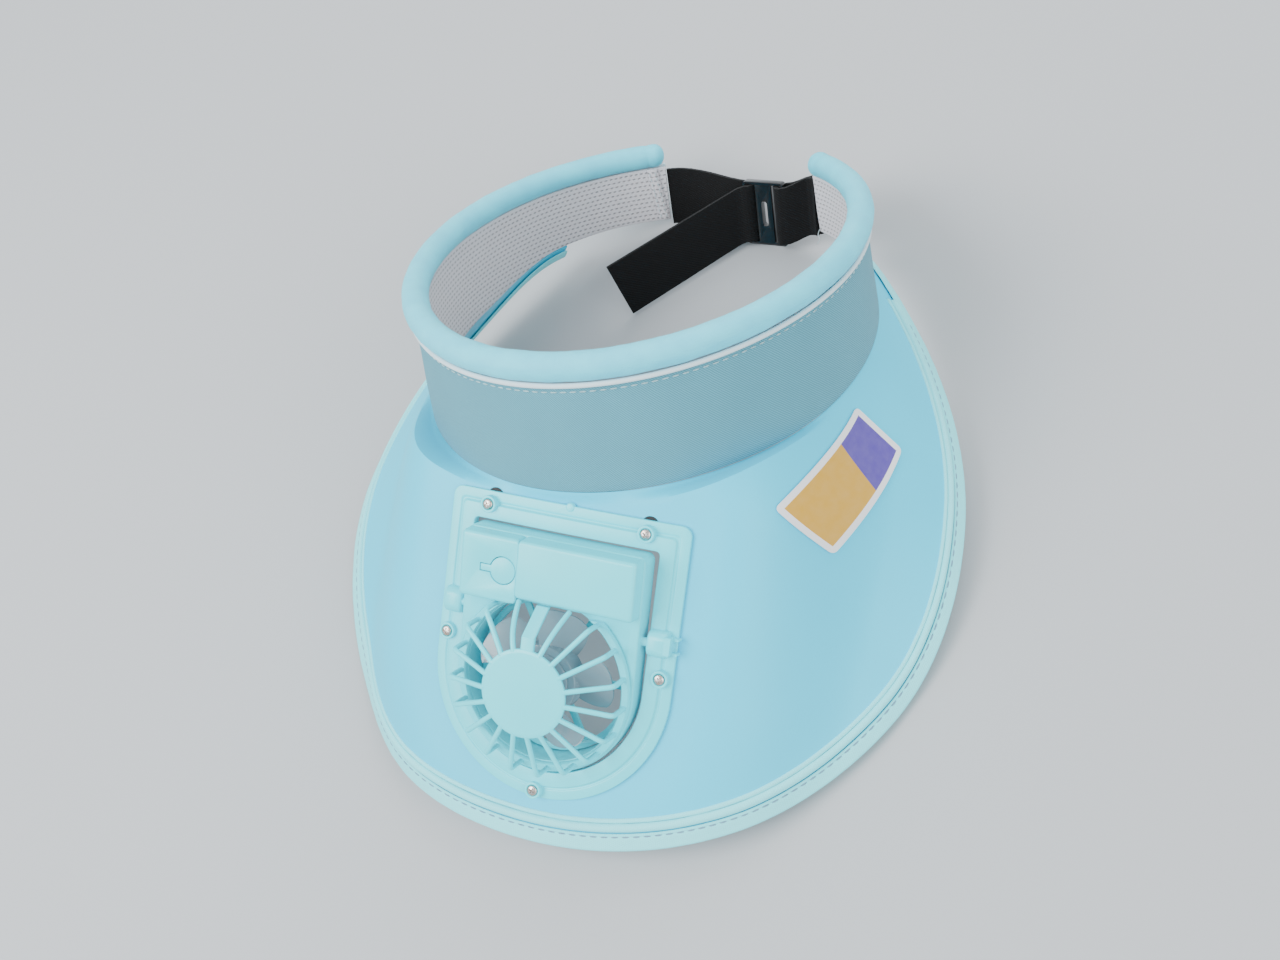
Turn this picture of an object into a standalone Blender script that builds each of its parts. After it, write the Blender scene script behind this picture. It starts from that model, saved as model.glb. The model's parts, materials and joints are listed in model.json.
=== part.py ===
"""Open-crown sun hat with a tilting fan in its brim. Metres, +Z up, front towards -Y.

The hat is modelled in its own frame: the origin is the middle of the head oval, in the plane
of the top roll. An empty then lays the whole hat on the ground as it rests by itself.
Angles round the hat are counted from the front, positive towards +X.
"""

import math
from typing import NamedTuple

import bmesh
import bpy
from mathutils import Matrix, Vector

GAP = 0.0003

# Head band, round the oval of the top roll's centre line
HEAD_HALF_WIDTH = 0.0794
HEAD_HALF_LENGTH = 0.0954
LEFT_END = 164.0
RIGHT_END = 144.0
BAND_HEIGHT = 0.0458
SIDE_FLARE = 0.0033
FRONT_FLARE = 0.0001
SIDE_RISE = 0.0021
CLOTH = 0.0016
ROLL_RADIUS = 0.0048
PIPING_RADIUS = 0.0009
PIPING_OUT = 0.0024
BAND_STEP = 8.0

# Brim, measured along its slope from the band's lower edge
BRIM_WIDTH = 0.1218
BRIM_THICKNESS = 0.0015
BRIM_END = 132.0
BRIM_TUCK = 0.00065
FRONT_STEP = 5.4
FRONT_REACH = 64.8
BINDING_WIDTH = 0.0065
BINDING_WALL = 0.0008
BINDING_ROUND = 0.0008
BINDING_SLACK = 0.0005
RIDGE_RADIUS = 0.0012
RIDGE_INSET = 0.0085

# Label on the brim
LABEL_ANGLE = 61.0
LABEL_ALONG = 0.0240
LABEL_LENGTH = 0.0430
LABEL_WIDTH = 0.0235
LABEL_TURN = 72.6
LABEL_THICKNESS = 0.0005
LABEL_LIFT = 0.0009

# Fan unit's place on the brim
FAN_DOWN = 0.0618
FAN_SHIFT = -0.0035
FAN_RISE = 0.0004
FAN_SLOPE = 61.7
FAN_TWIST = 5.6
BEND_RADIUS = 0.70
FLAT_MARGIN = 0.009
FLAT_BLEND = 0.045
SEAM_BLEND = 0.0040

# Bezel, from the centre of its round lower end
BEZEL_HALF = 0.0433
BEZEL_TOP = 0.0576
BEZEL_CORNER = 0.0035
BEZEL_EDGE = 0.0012
BEZEL_LIP = 0.0019
LIP_INSET = 0.0042
BORDER = 0.0095
COLLAR_WALL = 0.0015
COLLAR_DEPTH = 0.0012
COLLAR_CLEARANCE = 0.0005
OPENING_CORNER = 0.0015
CLAMP_THICKNESS = 0.0018
CLAMP_INSET = 0.0012
CLAMP_GAP = 0.0006

# Screws
BOSS_RADIUS = 0.0029
BOSS_HEIGHT = 0.0034
SCREW_HEAD_RADIUS = 0.0018
SCREW_HEAD_HEIGHT = 0.0009
SHANK_RADIUS = 0.0010
TOP_SCREW_ACROSS = 0.0285
TOP_SCREW_INSET = 0.0044
MIDDLE_SCREW_ACROSS = 0.0391
MIDDLE_SCREW_UP = 0.0069
BOTTOM_SCREW_INSET = 0.0027

# Pivot of the fan module
PIVOT_UP = 0.0185
PIVOT_OUT = 0.0026
PIN_RADIUS = 0.0015
LUG_LENGTH = 0.0069
LUG_WIDTH = 0.0090
LUG_ROUND = 0.0031
LUG_OVERHANG = -0.0002

# Fan module: D-shaped body, box and bore
SWING_GAP = 0.0017
TOP_GAP = 0.0009
MODULE_DROP = 0.0010
MODULE_TILT = 4.5
MODULE_RISE = 0.0011
MODULE_BACK = 0.0055
MODULE_DECK = 0.0055
MODULE_CHAMFER = 0.0020
MODULE_CORNER = 0.0025
BORE_RADIUS = 0.0282
BOX_FRONT = 0.0115
BOX_FOOT = 0.0273
BOX_LEFT_DROP = 0.0026
BOX_INSET = 0.0003
BOX_DRAFT = 0.0004
BOX_ROUND = 0.0014
BOX_WALL = 0.0016
COVER_THICKNESS = 0.0012
PANEL_SHARE = 0.335
PANEL_STEP = 0.0005

# Power button, a tongue cut in the box's left panel
BUTTON_RADIUS = 0.0045
BUTTON_NECK = 0.0022
BUTTON_NECK_LENGTH = 0.0036
BUTTON_SLIT = 0.00035
BUTTON_FROM_SEAM = 0.0006
BUTTON_UP = 0.0088
BUTTON_THICKNESS = 0.0012

# Front grille
DISC_RADIUS = 0.0150
DISC_FRONT = 0.0212
DISC_THICKNESS = 0.0016
GRILLE_PLACES = 19
RIB_RADIUS = 0.0009
RIB_REACH = 0.0300
RIB_DROP = 0.0048
GRILLE_RING_WIDTH = 0.0030
GRILLE_RING_THICKNESS = 0.0016
STRUT_WIDTH = 0.0046
STRUT_THICKNESS = 0.0018

# Rotor and motor
ROTOR_RADIUS = 0.0245
HUB_RADIUS = 0.0125
HUB_BACK = -0.0008
HUB_FRONT = 0.0075
BLADES = 5
BLADE_SPAN = 54.0
BLADE_RISE = 0.0080
BLADE_THICKNESS = 0.0011
SHAFT_RADIUS = 0.0010
SHAFT_LENGTH = 0.0030
MOTOR_RADIUS = 0.0080
MOTOR_GAP = 0.0010
SPOKES = 6
SPOKE_WIDTH = 0.0022
SPOKE_THICKNESS = 0.0016
MOUNT_RING_WIDTH = 0.0022

# Strap, buckle and tab
STRAP_WIDTH = 0.0245
STRAP_THICKNESS = 0.0015
BUCKLE_LENGTH = 0.0184
BUCKLE_HEIGHT = 0.0276
BUCKLE_THICKNESS = 0.0030
BUCKLE_CORNER = 0.0012
BUCKLE_BAR = 0.0022
BUCKLE_WINDOW = 0.0034
BUCKLE_SLOT_LENGTH = 0.0110
BUCKLE_SLOT_WIDTH = 0.0026
BUCKLE_SHARE = 0.655
BUCKLE_DROP = 0.0227
STRAP_DROP = 0.0190
TAIL_LENGTH = 0.0570
TAIL_TURN = 48.0
TAIL_TURN_RADIUS = 0.0060
TAIL_DIP = 19.0


class BandRow(NamedTuple):
    """Height of the band at an angle, as a share of BAND_HEIGHT."""

    angle: float
    height: float


class BrimRow(NamedTuple):
    """Width of the brim at an angle, as a share of BRIM_WIDTH, and its slope in degrees."""

    angle: float
    width: float
    slope: float


BAND_ROWS = (
    BandRow(angle=0, height=1.00),
    BandRow(angle=50, height=0.99),
    BandRow(angle=100, height=0.88),
    BandRow(angle=130, height=0.66),
    BandRow(angle=150, height=0.63),
    BandRow(angle=180, height=0.63),
)

BRIM_ROWS = (
    BrimRow(angle=0, width=1.000, slope=64.0),
    BrimRow(angle=25, width=0.966, slope=63.0),
    BrimRow(angle=50, width=0.837, slope=59.6),
    BrimRow(angle=75, width=0.525, slope=50.5),
    BrimRow(angle=100, width=0.244, slope=47.3),
    BrimRow(angle=125, width=0.077, slope=47.3),
    BrimRow(angle=140, width=0.060, slope=47.3),
)

# Where the brim's rows of faces lie, as shares of the way from the band to the piping ridge
BRIM_LINES = (0.0, 0.036, 0.24, 0.48, 0.72, 0.94, 1.0)


class Finish(NamedTuple):
    """Colour and surface of one material."""

    colour: tuple
    roughness: float
    metallic: float


FINISHES = {
    "brim_sheet": Finish((0.38, 0.68, 0.76), 0.55, 0.0),
    "band_twill": Finish((0.30, 0.53, 0.60), 0.80, 0.0),
    "air_mesh": Finish((0.51, 0.48, 0.51), 0.90, 0.0),
    "satin_roll": Finish((0.48, 0.76, 0.87), 0.50, 0.0),
    "white_piping": Finish((0.80, 0.88, 0.90), 0.60, 0.0),
    "binding_cloth": Finish((0.58, 0.83, 0.84), 0.65, 0.0),
    "label_film": Finish((0.85, 0.80, 0.70), 0.40, 0.0),
    "black_webbing": Finish((0.012, 0.012, 0.013), 0.85, 0.0),
    "black_plastic": Finish((0.010, 0.010, 0.011), 0.20, 0.0),
    "mint_plastic": Finish((0.43, 0.79, 0.80), 0.35, 0.0),
    "blade_plastic": Finish((0.32, 0.42, 0.46), 0.25, 0.0),
    "screw_steel": Finish((0.62, 0.62, 0.62), 0.30, 1.0),
}


def smooth(share):
    """Ease a share between 0 and 1."""
    share = min(max(share, 0.0), 1.0)
    return share * share * (3 - 2 * share)


def table_value(rows, angle, column):
    """Read a table's column at an angle, along a curve that doesn't overshoot its rows."""
    xs = [row.angle for row in rows]
    ys = [getattr(row, column) for row in rows]
    x = min(max(abs(angle), xs[0]), xs[-1])
    left = max(i for i in range(len(xs) - 1) if xs[i] <= x)
    steps = [(ys[i + 1] - ys[i]) / (xs[i + 1] - xs[i]) for i in range(len(xs) - 1)]
    slopes = [0.0] * len(xs)
    for i in range(1, len(xs) - 1):
        if steps[i - 1] * steps[i] > 0:
            slopes[i] = 2 * steps[i - 1] * steps[i] / (steps[i - 1] + steps[i])
    width = xs[left + 1] - xs[left]
    t = (x - xs[left]) / width
    return (ys[left] * (1 + 2 * t) * (1 - t) ** 2 + slopes[left] * width * t * (1 - t) ** 2
            + ys[left + 1] * t * t * (3 - 2 * t) - slopes[left + 1] * width * t * t * (1 - t))


def angle_steps(start, end, step):
    """Angles from start to end, in equal steps of about the given size."""
    count = max(round((end - start) / step), 1)
    return [start + (end - start) * i / count for i in range(count + 1)]


def band_angles():
    """Angles of the band's sections, from its left end to its right end."""
    return angle_steps(-LEFT_END, RIGHT_END, BAND_STEP)


def brim_angles():
    """Angles of the brim's sections, closer together round the fan."""
    left = angle_steps(-BRIM_END, -FRONT_REACH, BAND_STEP)
    front = angle_steps(-FRONT_REACH, FRONT_REACH, FRONT_STEP)
    right = angle_steps(FRONT_REACH, BRIM_END, BAND_STEP)
    return left[:-1] + front + right[1:]


def band_height(angle):
    """Drop from the roll's centre line to the band's lower edge."""
    return BAND_HEIGHT * table_value(BAND_ROWS, angle, "height")


def outward(angle, half_width, half_length):
    """Level unit vector that points out of an oval at an angle."""
    turn = math.radians(angle)
    return Vector((math.sin(turn) / half_width, -math.cos(turn) / half_length, 0)).normalized()


def band_point(angle, drop, out):
    """Point of the band, a drop below the roll's centre line and out from its middle surface."""
    turn = math.radians(angle)
    share = drop / band_height(angle)
    half_width = HEAD_HALF_WIDTH + SIDE_FLARE * share
    half_length = HEAD_HALF_LENGTH + FRONT_FLARE * share
    height = SIDE_RISE * math.sin(turn) ** 2 - drop
    point = Vector((half_width * math.sin(turn), -half_length * math.cos(turn), height))
    return point + out * outward(angle, half_width, half_length)


def cone_point(angle, along):
    """Point of the brim before the fan flattens it."""
    slope = math.radians(table_value(BRIM_ROWS, angle, "slope"))
    level = outward(angle, HEAD_HALF_WIDTH + SIDE_FLARE, HEAD_HALF_LENGTH + FRONT_FLARE)
    start = band_point(angle, band_height(angle) + GAP, GAP / 2 + CLOTH - BRIM_TUCK)
    up = Vector((0, 0, 1))
    return start + along * (math.cos(slope) * level - math.sin(slope) * up)


def brim_width(angle):
    """Width of the brim along its slope, binding included."""
    return BRIM_WIDTH * table_value(BRIM_ROWS, angle, "width")


def fan_frame():
    """Frame of the fan: X across, Y up the brim and Z out of it, from the disc's centre."""
    slope = math.radians(FAN_SLOPE)
    across = Vector((1, 0, 0))
    up = Vector((0, math.cos(slope), math.sin(slope)))
    out = across.cross(up)
    frame = Matrix((across, up, out)).transposed().to_4x4()
    frame.translation = cone_point(0, FAN_DOWN)
    return frame @ Matrix.Translation((FAN_SHIFT, 0, FAN_RISE)) @ Matrix.Rotation(-math.radians(FAN_TWIST), 4, "Z")


FAN = fan_frame()
FAN_BACK = FAN.inverted()


def bend(across):
    """How far the bezel's bend has fallen back at a distance from its middle."""
    return -across * across / (2 * BEND_RADIUS)


def outside_bezel(across, up):
    """Distance from a point of the fan's plane to the bezel's outline, 0 inside it."""
    side = max(abs(across) - BEZEL_HALF, 0.0)
    if up < 0:
        return max(math.hypot(across, up) - BEZEL_HALF, 0.0)
    return math.hypot(side, max(up - BEZEL_TOP, 0.0))


def brim_surface(angle, along):
    """Point of the brim's outer face, drawn to the bezel's bend round the fan."""
    point = FAN_BACK @ cone_point(angle, along)
    away = outside_bezel(point.x, point.y) - FLAT_MARGIN
    share = smooth(1 - away / FLAT_BLEND) * smooth(along / SEAM_BLEND)
    point.z += share * (bend(point.x) - point.z)
    return FAN @ point


def brim_point(angle, along, out):
    """Point out from the brim's outer face, square to it."""
    turn, step = 0.5, 0.0005
    across = brim_surface(angle + turn, along) - brim_surface(angle - turn, along)
    down = brim_surface(angle, along + step) - brim_surface(angle, along - step)
    return brim_surface(angle, along) + out * down.cross(across).normalized()


def arc(centre, radius, start, end, count):
    """Points of an arc in the XY plane, angles in degrees, both ends included."""
    turns = [math.radians(start + (end - start) * i / count) for i in range(count + 1)]
    return [(centre[0] + radius * math.cos(t), centre[1] + radius * math.sin(t)) for t in turns]


def d_outline(half, top, corner):
    """Outline with a round lower end about the origin and a straight top with round corners."""
    bottom = arc((0, 0), half, 180, 360, 20)
    right = arc((half - corner, top - corner), corner, 0, 90, 3)
    left = arc((corner - half, top - corner), corner, 90, 180, 3)
    straight = 8
    width = 2 * (half - corner)
    edge = [(half - corner - width * i / straight, top) for i in range(1, straight)]
    return bottom + right + edge + left


def rounded_box(low, high, corner):
    """Outline of a rectangle with round corners."""
    points = []
    for i, (x, y) in enumerate(((high[0], high[1]), (low[0], high[1]), (low[0], low[1]), (high[0], low[1]))):
        centre = (x + (-corner if x == high[0] else corner), y + (-corner if y == high[1] else corner))
        points += arc(centre, corner, 90 * i, 90 * i + 90, 3)
    return points


def button_outline(grow):
    """Outline of the button's round end and neck, grown on all sides, from its round centre."""
    radius = BUTTON_RADIUS + grow
    half_neck = BUTTON_NECK / 2 + grow
    meet = math.degrees(math.asin(half_neck / radius))
    round_end = arc((0, 0), radius, meet - 180, 180 - meet, 20)
    root = -BUTTON_RADIUS - BUTTON_NECK_LENGTH - grow
    return round_end + [(root, half_neck), (root, -half_neck)]


def material(name):
    """Principled material of one finish, made once."""
    found = bpy.data.materials.get(name)
    if found:
        return found
    finish = FINISHES[name]
    made = bpy.data.materials.new(name)
    made.use_nodes = True
    shader = made.node_tree.nodes["Principled BSDF"]
    shader.inputs["Base Color"].default_value = (*finish.colour, 1)
    shader.inputs["Roughness"].default_value = finish.roughness
    shader.inputs["Metallic"].default_value = finish.metallic
    return made


def collection(name):
    """Collection of that name, made once."""
    found = bpy.data.collections.get(name)
    if not found:
        found = bpy.data.collections.new(name)
        bpy.context.scene.collection.children.link(found)
    return found


def add_object(name, data, parent, finish=None):
    """Object in the hat's collection, or among the cutters where it has no finish."""
    made = bpy.data.objects.new(name, data)
    made.parent = parent
    if finish:
        data.materials.append(material(finish))
        collection("fan_sun_hat").objects.link(made)
    else:
        made.hide_render = True
        made.display_type = "WIRE"
        collection("cutters").objects.link(made)
    return made


def add_empty(name, parent, matrix):
    """Empty that carries pieces, at a place in its parent's frame."""
    made = bpy.data.objects.new(name, None)
    made.parent = parent
    made.matrix_local = matrix
    collection("fan_sun_hat").objects.link(made)
    return made


def mesh_from(name, shape):
    """Mesh of a finished bmesh, smooth on its round sides."""
    mesh = bpy.data.meshes.new(name)
    shape.to_mesh(mesh)
    shape.free()
    mesh.shade_smooth()
    mesh.set_sharp_from_angle(angle=math.radians(35))
    return mesh


def sheet(name, columns, rows, place):
    """Open sheet: a grid primitive whose points are placed from their two shares."""
    shape = bmesh.new()
    bmesh.ops.create_grid(shape, x_segments=columns, y_segments=rows, size=0.5)
    for vert in shape.verts:
        vert.co = place(vert.co.x + 0.5, vert.co.y + 0.5)
    return mesh_from(name, shape)


def thicken(piece, thickness, offset):
    """Give an open sheet its wall."""
    wall = piece.modifiers.new("wall", "SOLIDIFY")
    wall.thickness = thickness
    wall.offset = offset
    wall.use_even_offset = True


def loft(name, rings, wrap=False):
    """Solid through closed rings of equal count, capped, or wrapped from the last to the first."""
    shape = bmesh.new()
    made = [[shape.verts.new(point) for point in ring] for ring in rings]
    pairs = list(zip(made, made[1:]))
    if wrap:
        pairs.append((made[-1], made[0]))
    else:
        shape.faces.new(made[0])
        shape.faces.new(made[-1])
    for low, high in pairs:
        for i in range(len(low)):
            j = (i + 1) % len(low)
            shape.faces.new((low[i], low[j], high[j], high[i]))
    bmesh.ops.recalc_face_normals(shape, faces=shape.faces)
    return mesh_from(name, shape)


def prism(name, outline, low, high):
    """Straight solid over an outline, from one height to another."""
    return loft(name, [[(x, y, z) for x, y in outline] for z in (low, high)])


def rod(name, radius, low, high, sides, matrix=None):
    """Cylinder along Z from one height to another, placed by a matrix."""
    shape = bmesh.new()
    place = Matrix.Translation((0, 0, (low + high) / 2))
    if matrix:
        place = matrix @ place
    bmesh.ops.create_cone(shape, cap_ends=True, segments=sides, radius1=radius, radius2=radius,
                          depth=high - low, matrix=place)
    return mesh_from(name, shape)


def tube(name, points, radii, resolution, parent, finish=None):
    """Tube along points: a poly curve with filled caps."""
    curve = bpy.data.curves.new(name, "CURVE")
    curve.dimensions = "3D"
    curve.bevel_depth = 1.0
    curve.bevel_resolution = resolution
    curve.render_resolution_u = 0
    curve.use_fill_caps = True
    line = curve.splines.new("POLY")
    line.points.add(len(points) - 1)
    for spot, point, radius in zip(line.points, points, radii):
        spot.co = (*point, 1)
        spot.radius = radius
    return add_object(name, curve, parent, finish)


def as_mesh(piece, parent, finish=None):
    """Welded mesh object in place of a curve object."""
    bpy.context.view_layer.update()
    mesh = bpy.data.meshes.new_from_object(piece.evaluated_get(bpy.context.evaluated_depsgraph_get()))
    shape = bmesh.new()
    shape.from_mesh(mesh)
    bmesh.ops.remove_doubles(shape, verts=shape.verts, dist=0.000001)
    shape.to_mesh(mesh)
    shape.free()
    name = piece.name
    place = piece.matrix_world.copy()
    bpy.data.objects.remove(piece)
    mesh.materials.clear()
    made = add_object(name, mesh, parent, finish)
    made.matrix_world = place
    return made


def boolean(piece, operation, tools):
    """Join to a piece, or cut from it, a group of tool objects."""
    group = bpy.data.collections.new(f"{piece.name}_{operation.lower()}")
    collection("cutters").children.link(group)
    for tool in tools:
        group.objects.link(tool)
    change = piece.modifiers.new(operation.lower(), "BOOLEAN")
    change.operation = operation
    change.solver = "EXACT"
    change.operand_type = "COLLECTION"
    change.collection = group


def build_band(hat):
    """Outer cloth, mesh lining, top roll and piping of the head band."""
    angles = band_angles()
    columns = len(angles) - 1
    lining_top = ROLL_RADIUS + GAP
    piping_drop = math.sqrt((ROLL_RADIUS + PIPING_RADIUS + GAP) ** 2 - PIPING_OUT ** 2)
    side = PIPING_OUT - GAP / 2 - CLOTH
    cloth_top = piping_drop + math.sqrt((PIPING_RADIUS + GAP) ** 2 - side ** 2)

    def wall(top, out):
        def place(u, v):
            angle = angles[round(u * columns)]
            return band_point(angle, band_height(angle) + (top - band_height(angle)) * v, out)
        return place

    outer = add_object("band_outer", sheet("band_outer", columns, 2, wall(cloth_top, GAP / 2)), hat, "band_twill")
    thicken(outer, CLOTH, 1)
    lining = add_object("band_lining", sheet("band_lining", columns, 2, wall(lining_top, -GAP / 2)), hat, "air_mesh")
    thicken(lining, CLOTH, -1)

    def end_share(angle):
        from_end = math.radians(min(angle + LEFT_END, RIGHT_END - angle)) * HEAD_HALF_LENGTH
        share = min(from_end / ROLL_RADIUS, 1.0)
        return max(math.sqrt(1 - (1 - share) ** 2), 0.3)

    lip = math.degrees(ROLL_RADIUS / HEAD_HALF_LENGTH)
    roll_angles = sorted({*angles, -LEFT_END + lip / 3, -LEFT_END + lip, RIGHT_END - lip / 3, RIGHT_END - lip})
    roll_points = [band_point(angle, 0, 0) for angle in roll_angles]
    tube("top_roll", roll_points, [ROLL_RADIUS * end_share(a) for a in roll_angles], 2, hat, "satin_roll")
    piping_points = [band_point(angle, piping_drop, PIPING_OUT) for angle in angles]
    tube("band_piping", piping_points, [PIPING_RADIUS] * len(angles), 1, hat, "white_piping")


def build_brim(hat, fan):
    """Brim sheet with its hole, folded binding and piping ridge."""
    angles = brim_angles()
    columns = len(angles) - 1
    edge = BINDING_WALL + BINDING_ROUND / 2 + GAP
    rows = len(BRIM_LINES) + 1

    def place(u, v):
        angle = angles[round(u * columns)]
        width = brim_width(angle)
        row = round(v * rows)
        start = 0.25 * width
        if row == rows:
            return brim_point(angle, width - edge, 0)
        if row == rows - 1:
            return brim_point(angle, max(width - BINDING_WIDTH, start), 0)
        return brim_point(angle, max(width - RIDGE_INSET, 0.2 * width) * BRIM_LINES[row], 0)

    brim = add_object("brim", sheet("brim", columns, rows, place), hat, "brim_sheet")
    thicken(brim, BRIM_THICKNESS, 1)
    grow = COLLAR_WALL + COLLAR_CLEARANCE - BORDER
    outline = d_outline(BEZEL_HALF + grow, BEZEL_TOP + grow, OPENING_CORNER)
    reach = 0.03
    hole = add_object("brim_hole", prism("brim_hole", outline, -reach, reach), fan)
    boolean(brim, "DIFFERENCE", [hole, *screw_rods("brim_screw_hole", SHANK_RADIUS + GAP, -reach / 3, reach / 3, fan)])

    middle = -BRIM_THICKNESS / 2
    slot = BRIM_THICKNESS / 2 + BINDING_SLACK
    face = slot + BINDING_WALL
    section = (
        (-BINDING_WIDTH, slot), (-BINDING_WIDTH, face), (-BINDING_ROUND, face), (0, face / 2),
        (0, -face / 2), (-BINDING_ROUND, -face), (-BINDING_WIDTH, -face), (-BINDING_WIDTH, -slot),
        (GAP - edge, -slot), (GAP - edge, slot),
    )
    rings = []
    for angle in angles:
        width = brim_width(angle)
        start = 0.25 * width
        rings.append([brim_point(angle, max(width + s, start), middle + out) for s, out in section])
    add_object("brim_binding", loft("brim_binding", rings), hat, "binding_cloth")

    ridge_angles = [angle for angle in angles if brim_width(angle) > 2 * RIDGE_INSET]
    ridge_out = GAP + RIDGE_RADIUS
    points = [brim_point(angle, brim_width(angle) - RIDGE_INSET, ridge_out) for angle in ridge_angles]
    tube("brim_piping", points, [RIDGE_RADIUS] * len(points), 1, hat, "binding_cloth")


def build_label(hat):
    """Label that lies on the brim's right side."""
    turn = math.radians(LABEL_TURN)

    def place(u, v):
        along = (u - 0.5) * LABEL_LENGTH
        aside = (v - 0.5) * LABEL_WIDTH
        down = LABEL_ALONG + along * math.cos(turn) - aside * math.sin(turn)
        middle = cone_point(LABEL_ANGLE, down)
        girth = math.hypot(middle.x, middle.y)
        angle = LABEL_ANGLE - math.degrees((along * math.sin(turn) + aside * math.cos(turn)) / girth)
        return brim_point(angle, down, LABEL_LIFT)

    label = add_object("brim_label", sheet("brim_label", 5, 3, place), hat, "label_film")
    thicken(label, LABEL_THICKNESS, -1)


def screw_places():
    """Places of the five screws on the bezel, as distances across and up."""
    top = BEZEL_TOP - TOP_SCREW_INSET
    return (
        (-TOP_SCREW_ACROSS, top), (TOP_SCREW_ACROSS, top),
        (-MIDDLE_SCREW_ACROSS, MIDDLE_SCREW_UP), (MIDDLE_SCREW_ACROSS, MIDDLE_SCREW_UP),
        (0, BOTTOM_SCREW_INSET - BEZEL_HALF),
    )


def on_bezel(across, up):
    """Frame on the bezel's bend, with Z square to it."""
    lean = Matrix.Rotation(math.atan(across / BEND_RADIUS), 4, "Y")
    return Matrix.Translation((across, up, bend(across))) @ lean


def screw_rods(name, radius, low, high, fan):
    """Tool rods on the five screws' axes."""
    rods = []
    for i, (across, up) in enumerate(screw_places(), 1):
        rods.append(add_object(f"{name}_{i}", rod(name, radius, low, high, 8, on_bezel(across, up)), fan))
    return rods


def bent_rings(profile):
    """D-shaped rings for a profile of insets and heights, drawn down by the bezel's bend."""
    rings = []
    for inset, height in profile:
        corner = max(BEZEL_CORNER - inset, OPENING_CORNER)
        outline = d_outline(BEZEL_HALF - inset, BEZEL_TOP - inset, corner)
        rings.append([(x, y, height + bend(x)) for x, y in outline])
    return rings


def build_bezel(fan):
    """Bezel with bosses and lugs, plate behind the brim, and screws."""
    foot = GAP
    edge = foot + BEZEL_EDGE
    lip = foot + BEZEL_LIP
    rounding = 0.4 * BEZEL_EDGE
    profile = (
        (0, foot), (0, edge - rounding), (rounding, edge), (LIP_INSET, edge),
        (LIP_INSET + rounding, lip), (BORDER - rounding, lip), (BORDER, lip - rounding),
        (BORDER, -COLLAR_DEPTH), (BORDER - COLLAR_WALL, -COLLAR_DEPTH), (BORDER - COLLAR_WALL, foot),
    )
    bezel = add_object("fan_bezel", loft("fan_bezel", bent_rings(profile), wrap=True), fan, "mint_plastic")
    bosses = []
    for i, (across, up) in enumerate(screw_places(), 1):
        boss = rod("boss", BOSS_RADIUS, foot + rounding, foot + BOSS_HEIGHT, 10, on_bezel(across, up))
        bosses.append(add_object(f"boss_{i}", boss, fan))
    boolean(bezel, "UNION", bosses + build_lugs(fan))
    low = -COLLAR_DEPTH - BEZEL_EDGE
    holes = screw_rods("bezel_screw_hole", SHANK_RADIUS + GAP, low, 2 * BOSS_HEIGHT, fan)
    bore = rod("lug_bore", PIN_RADIUS + GAP, -BEZEL_HALF, BEZEL_HALF, 12, pivot_frame(0, 0))
    boolean(bezel, "DIFFERENCE", holes + [add_object("lug_bore", bore, fan)])

    top = -BRIM_THICKNESS - CLAMP_GAP
    hole = BORDER - COLLAR_WALL - COLLAR_CLEARANCE
    profile = ((CLAMP_INSET, top), (hole, top), (hole, top - CLAMP_THICKNESS), (CLAMP_INSET, top - CLAMP_THICKNESS))
    plate = add_object("clamp_plate", loft("clamp_plate", bent_rings(profile), wrap=True), fan, "mint_plastic")
    low = top - 2 * CLAMP_THICKNESS
    boolean(plate, "DIFFERENCE", screw_rods("clamp_screw_hole", SHANK_RADIUS + GAP, low, 0, fan))

    for i, (across, up) in enumerate(screw_places(), 1):
        build_screw(f"bezel_screw_{i}", on_bezel(across, up), top - CLAMP_THICKNESS, foot + BOSS_HEIGHT + GAP, fan)


def build_screw(name, place, low, seat, fan):
    """Turned screw: low domed head on its boss and a shank down through the plate."""
    high = seat + SCREW_HEAD_HEIGHT
    profile = (
        (0, high), (0.6 * SCREW_HEAD_RADIUS, high), (SCREW_HEAD_RADIUS, seat + 0.4 * SCREW_HEAD_HEIGHT),
        (SCREW_HEAD_RADIUS, seat), (SHANK_RADIUS, seat), (SHANK_RADIUS, low), (0, low),
    )
    shape = bmesh.new()
    verts = [shape.verts.new((radius, 0, height)) for radius, height in profile]
    for first, second in zip(verts, verts[1:]):
        shape.edges.new((first, second))
    screw = add_object(name, mesh_from(name, shape), fan, "screw_steel")
    screw.matrix_local = place
    turned = screw.modifiers.new("turned", "SCREW")
    turned.steps = turned.render_steps = 8
    turned.use_merge_vertices = True
    turned.merge_threshold = 0.00001


def pivot_frame(drop, rise):
    """Frame with Z along the pivot, seen from a centre below and in front of the bezel's."""
    return Matrix.Translation((0, PIVOT_UP + drop, PIVOT_OUT - rise)) @ Matrix.Rotation(math.pi / 2, 4, "Y")


def build_lugs(fan):
    """Two arched lugs on the bezel's sides, as tools for its union."""
    inner = BEZEL_HALF - BORDER - LUG_OVERHANG
    half = LUG_WIDTH / 2
    arch = arc((PIVOT_OUT, half - LUG_ROUND), LUG_ROUND, 90, 0, 4) + arc((PIVOT_OUT, LUG_ROUND - half), LUG_ROUND, 0, -90, 4)
    lugs = []
    for side, start in (("left", -inner - LUG_LENGTH), ("right", inner)):
        rings = []
        for x in (start, start + LUG_LENGTH):
            foot = bend(x) + GAP + BEZEL_EDGE / 3
            rings.append([(x, PIVOT_UP + y, z) for z, y in [(foot, -half), (foot, half), *arch]])
        lugs.append(add_object(f"lug_{side}", loft("lug", rings), fan))
    return lugs


def module_half():
    """Half the width of the fan module, clear of the bezel's opening."""
    return BEZEL_HALF - BORDER - SWING_GAP


def module_top():
    """Height of the fan module above the disc's centre."""
    return BEZEL_TOP - BORDER - TOP_GAP + MODULE_DROP


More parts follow.
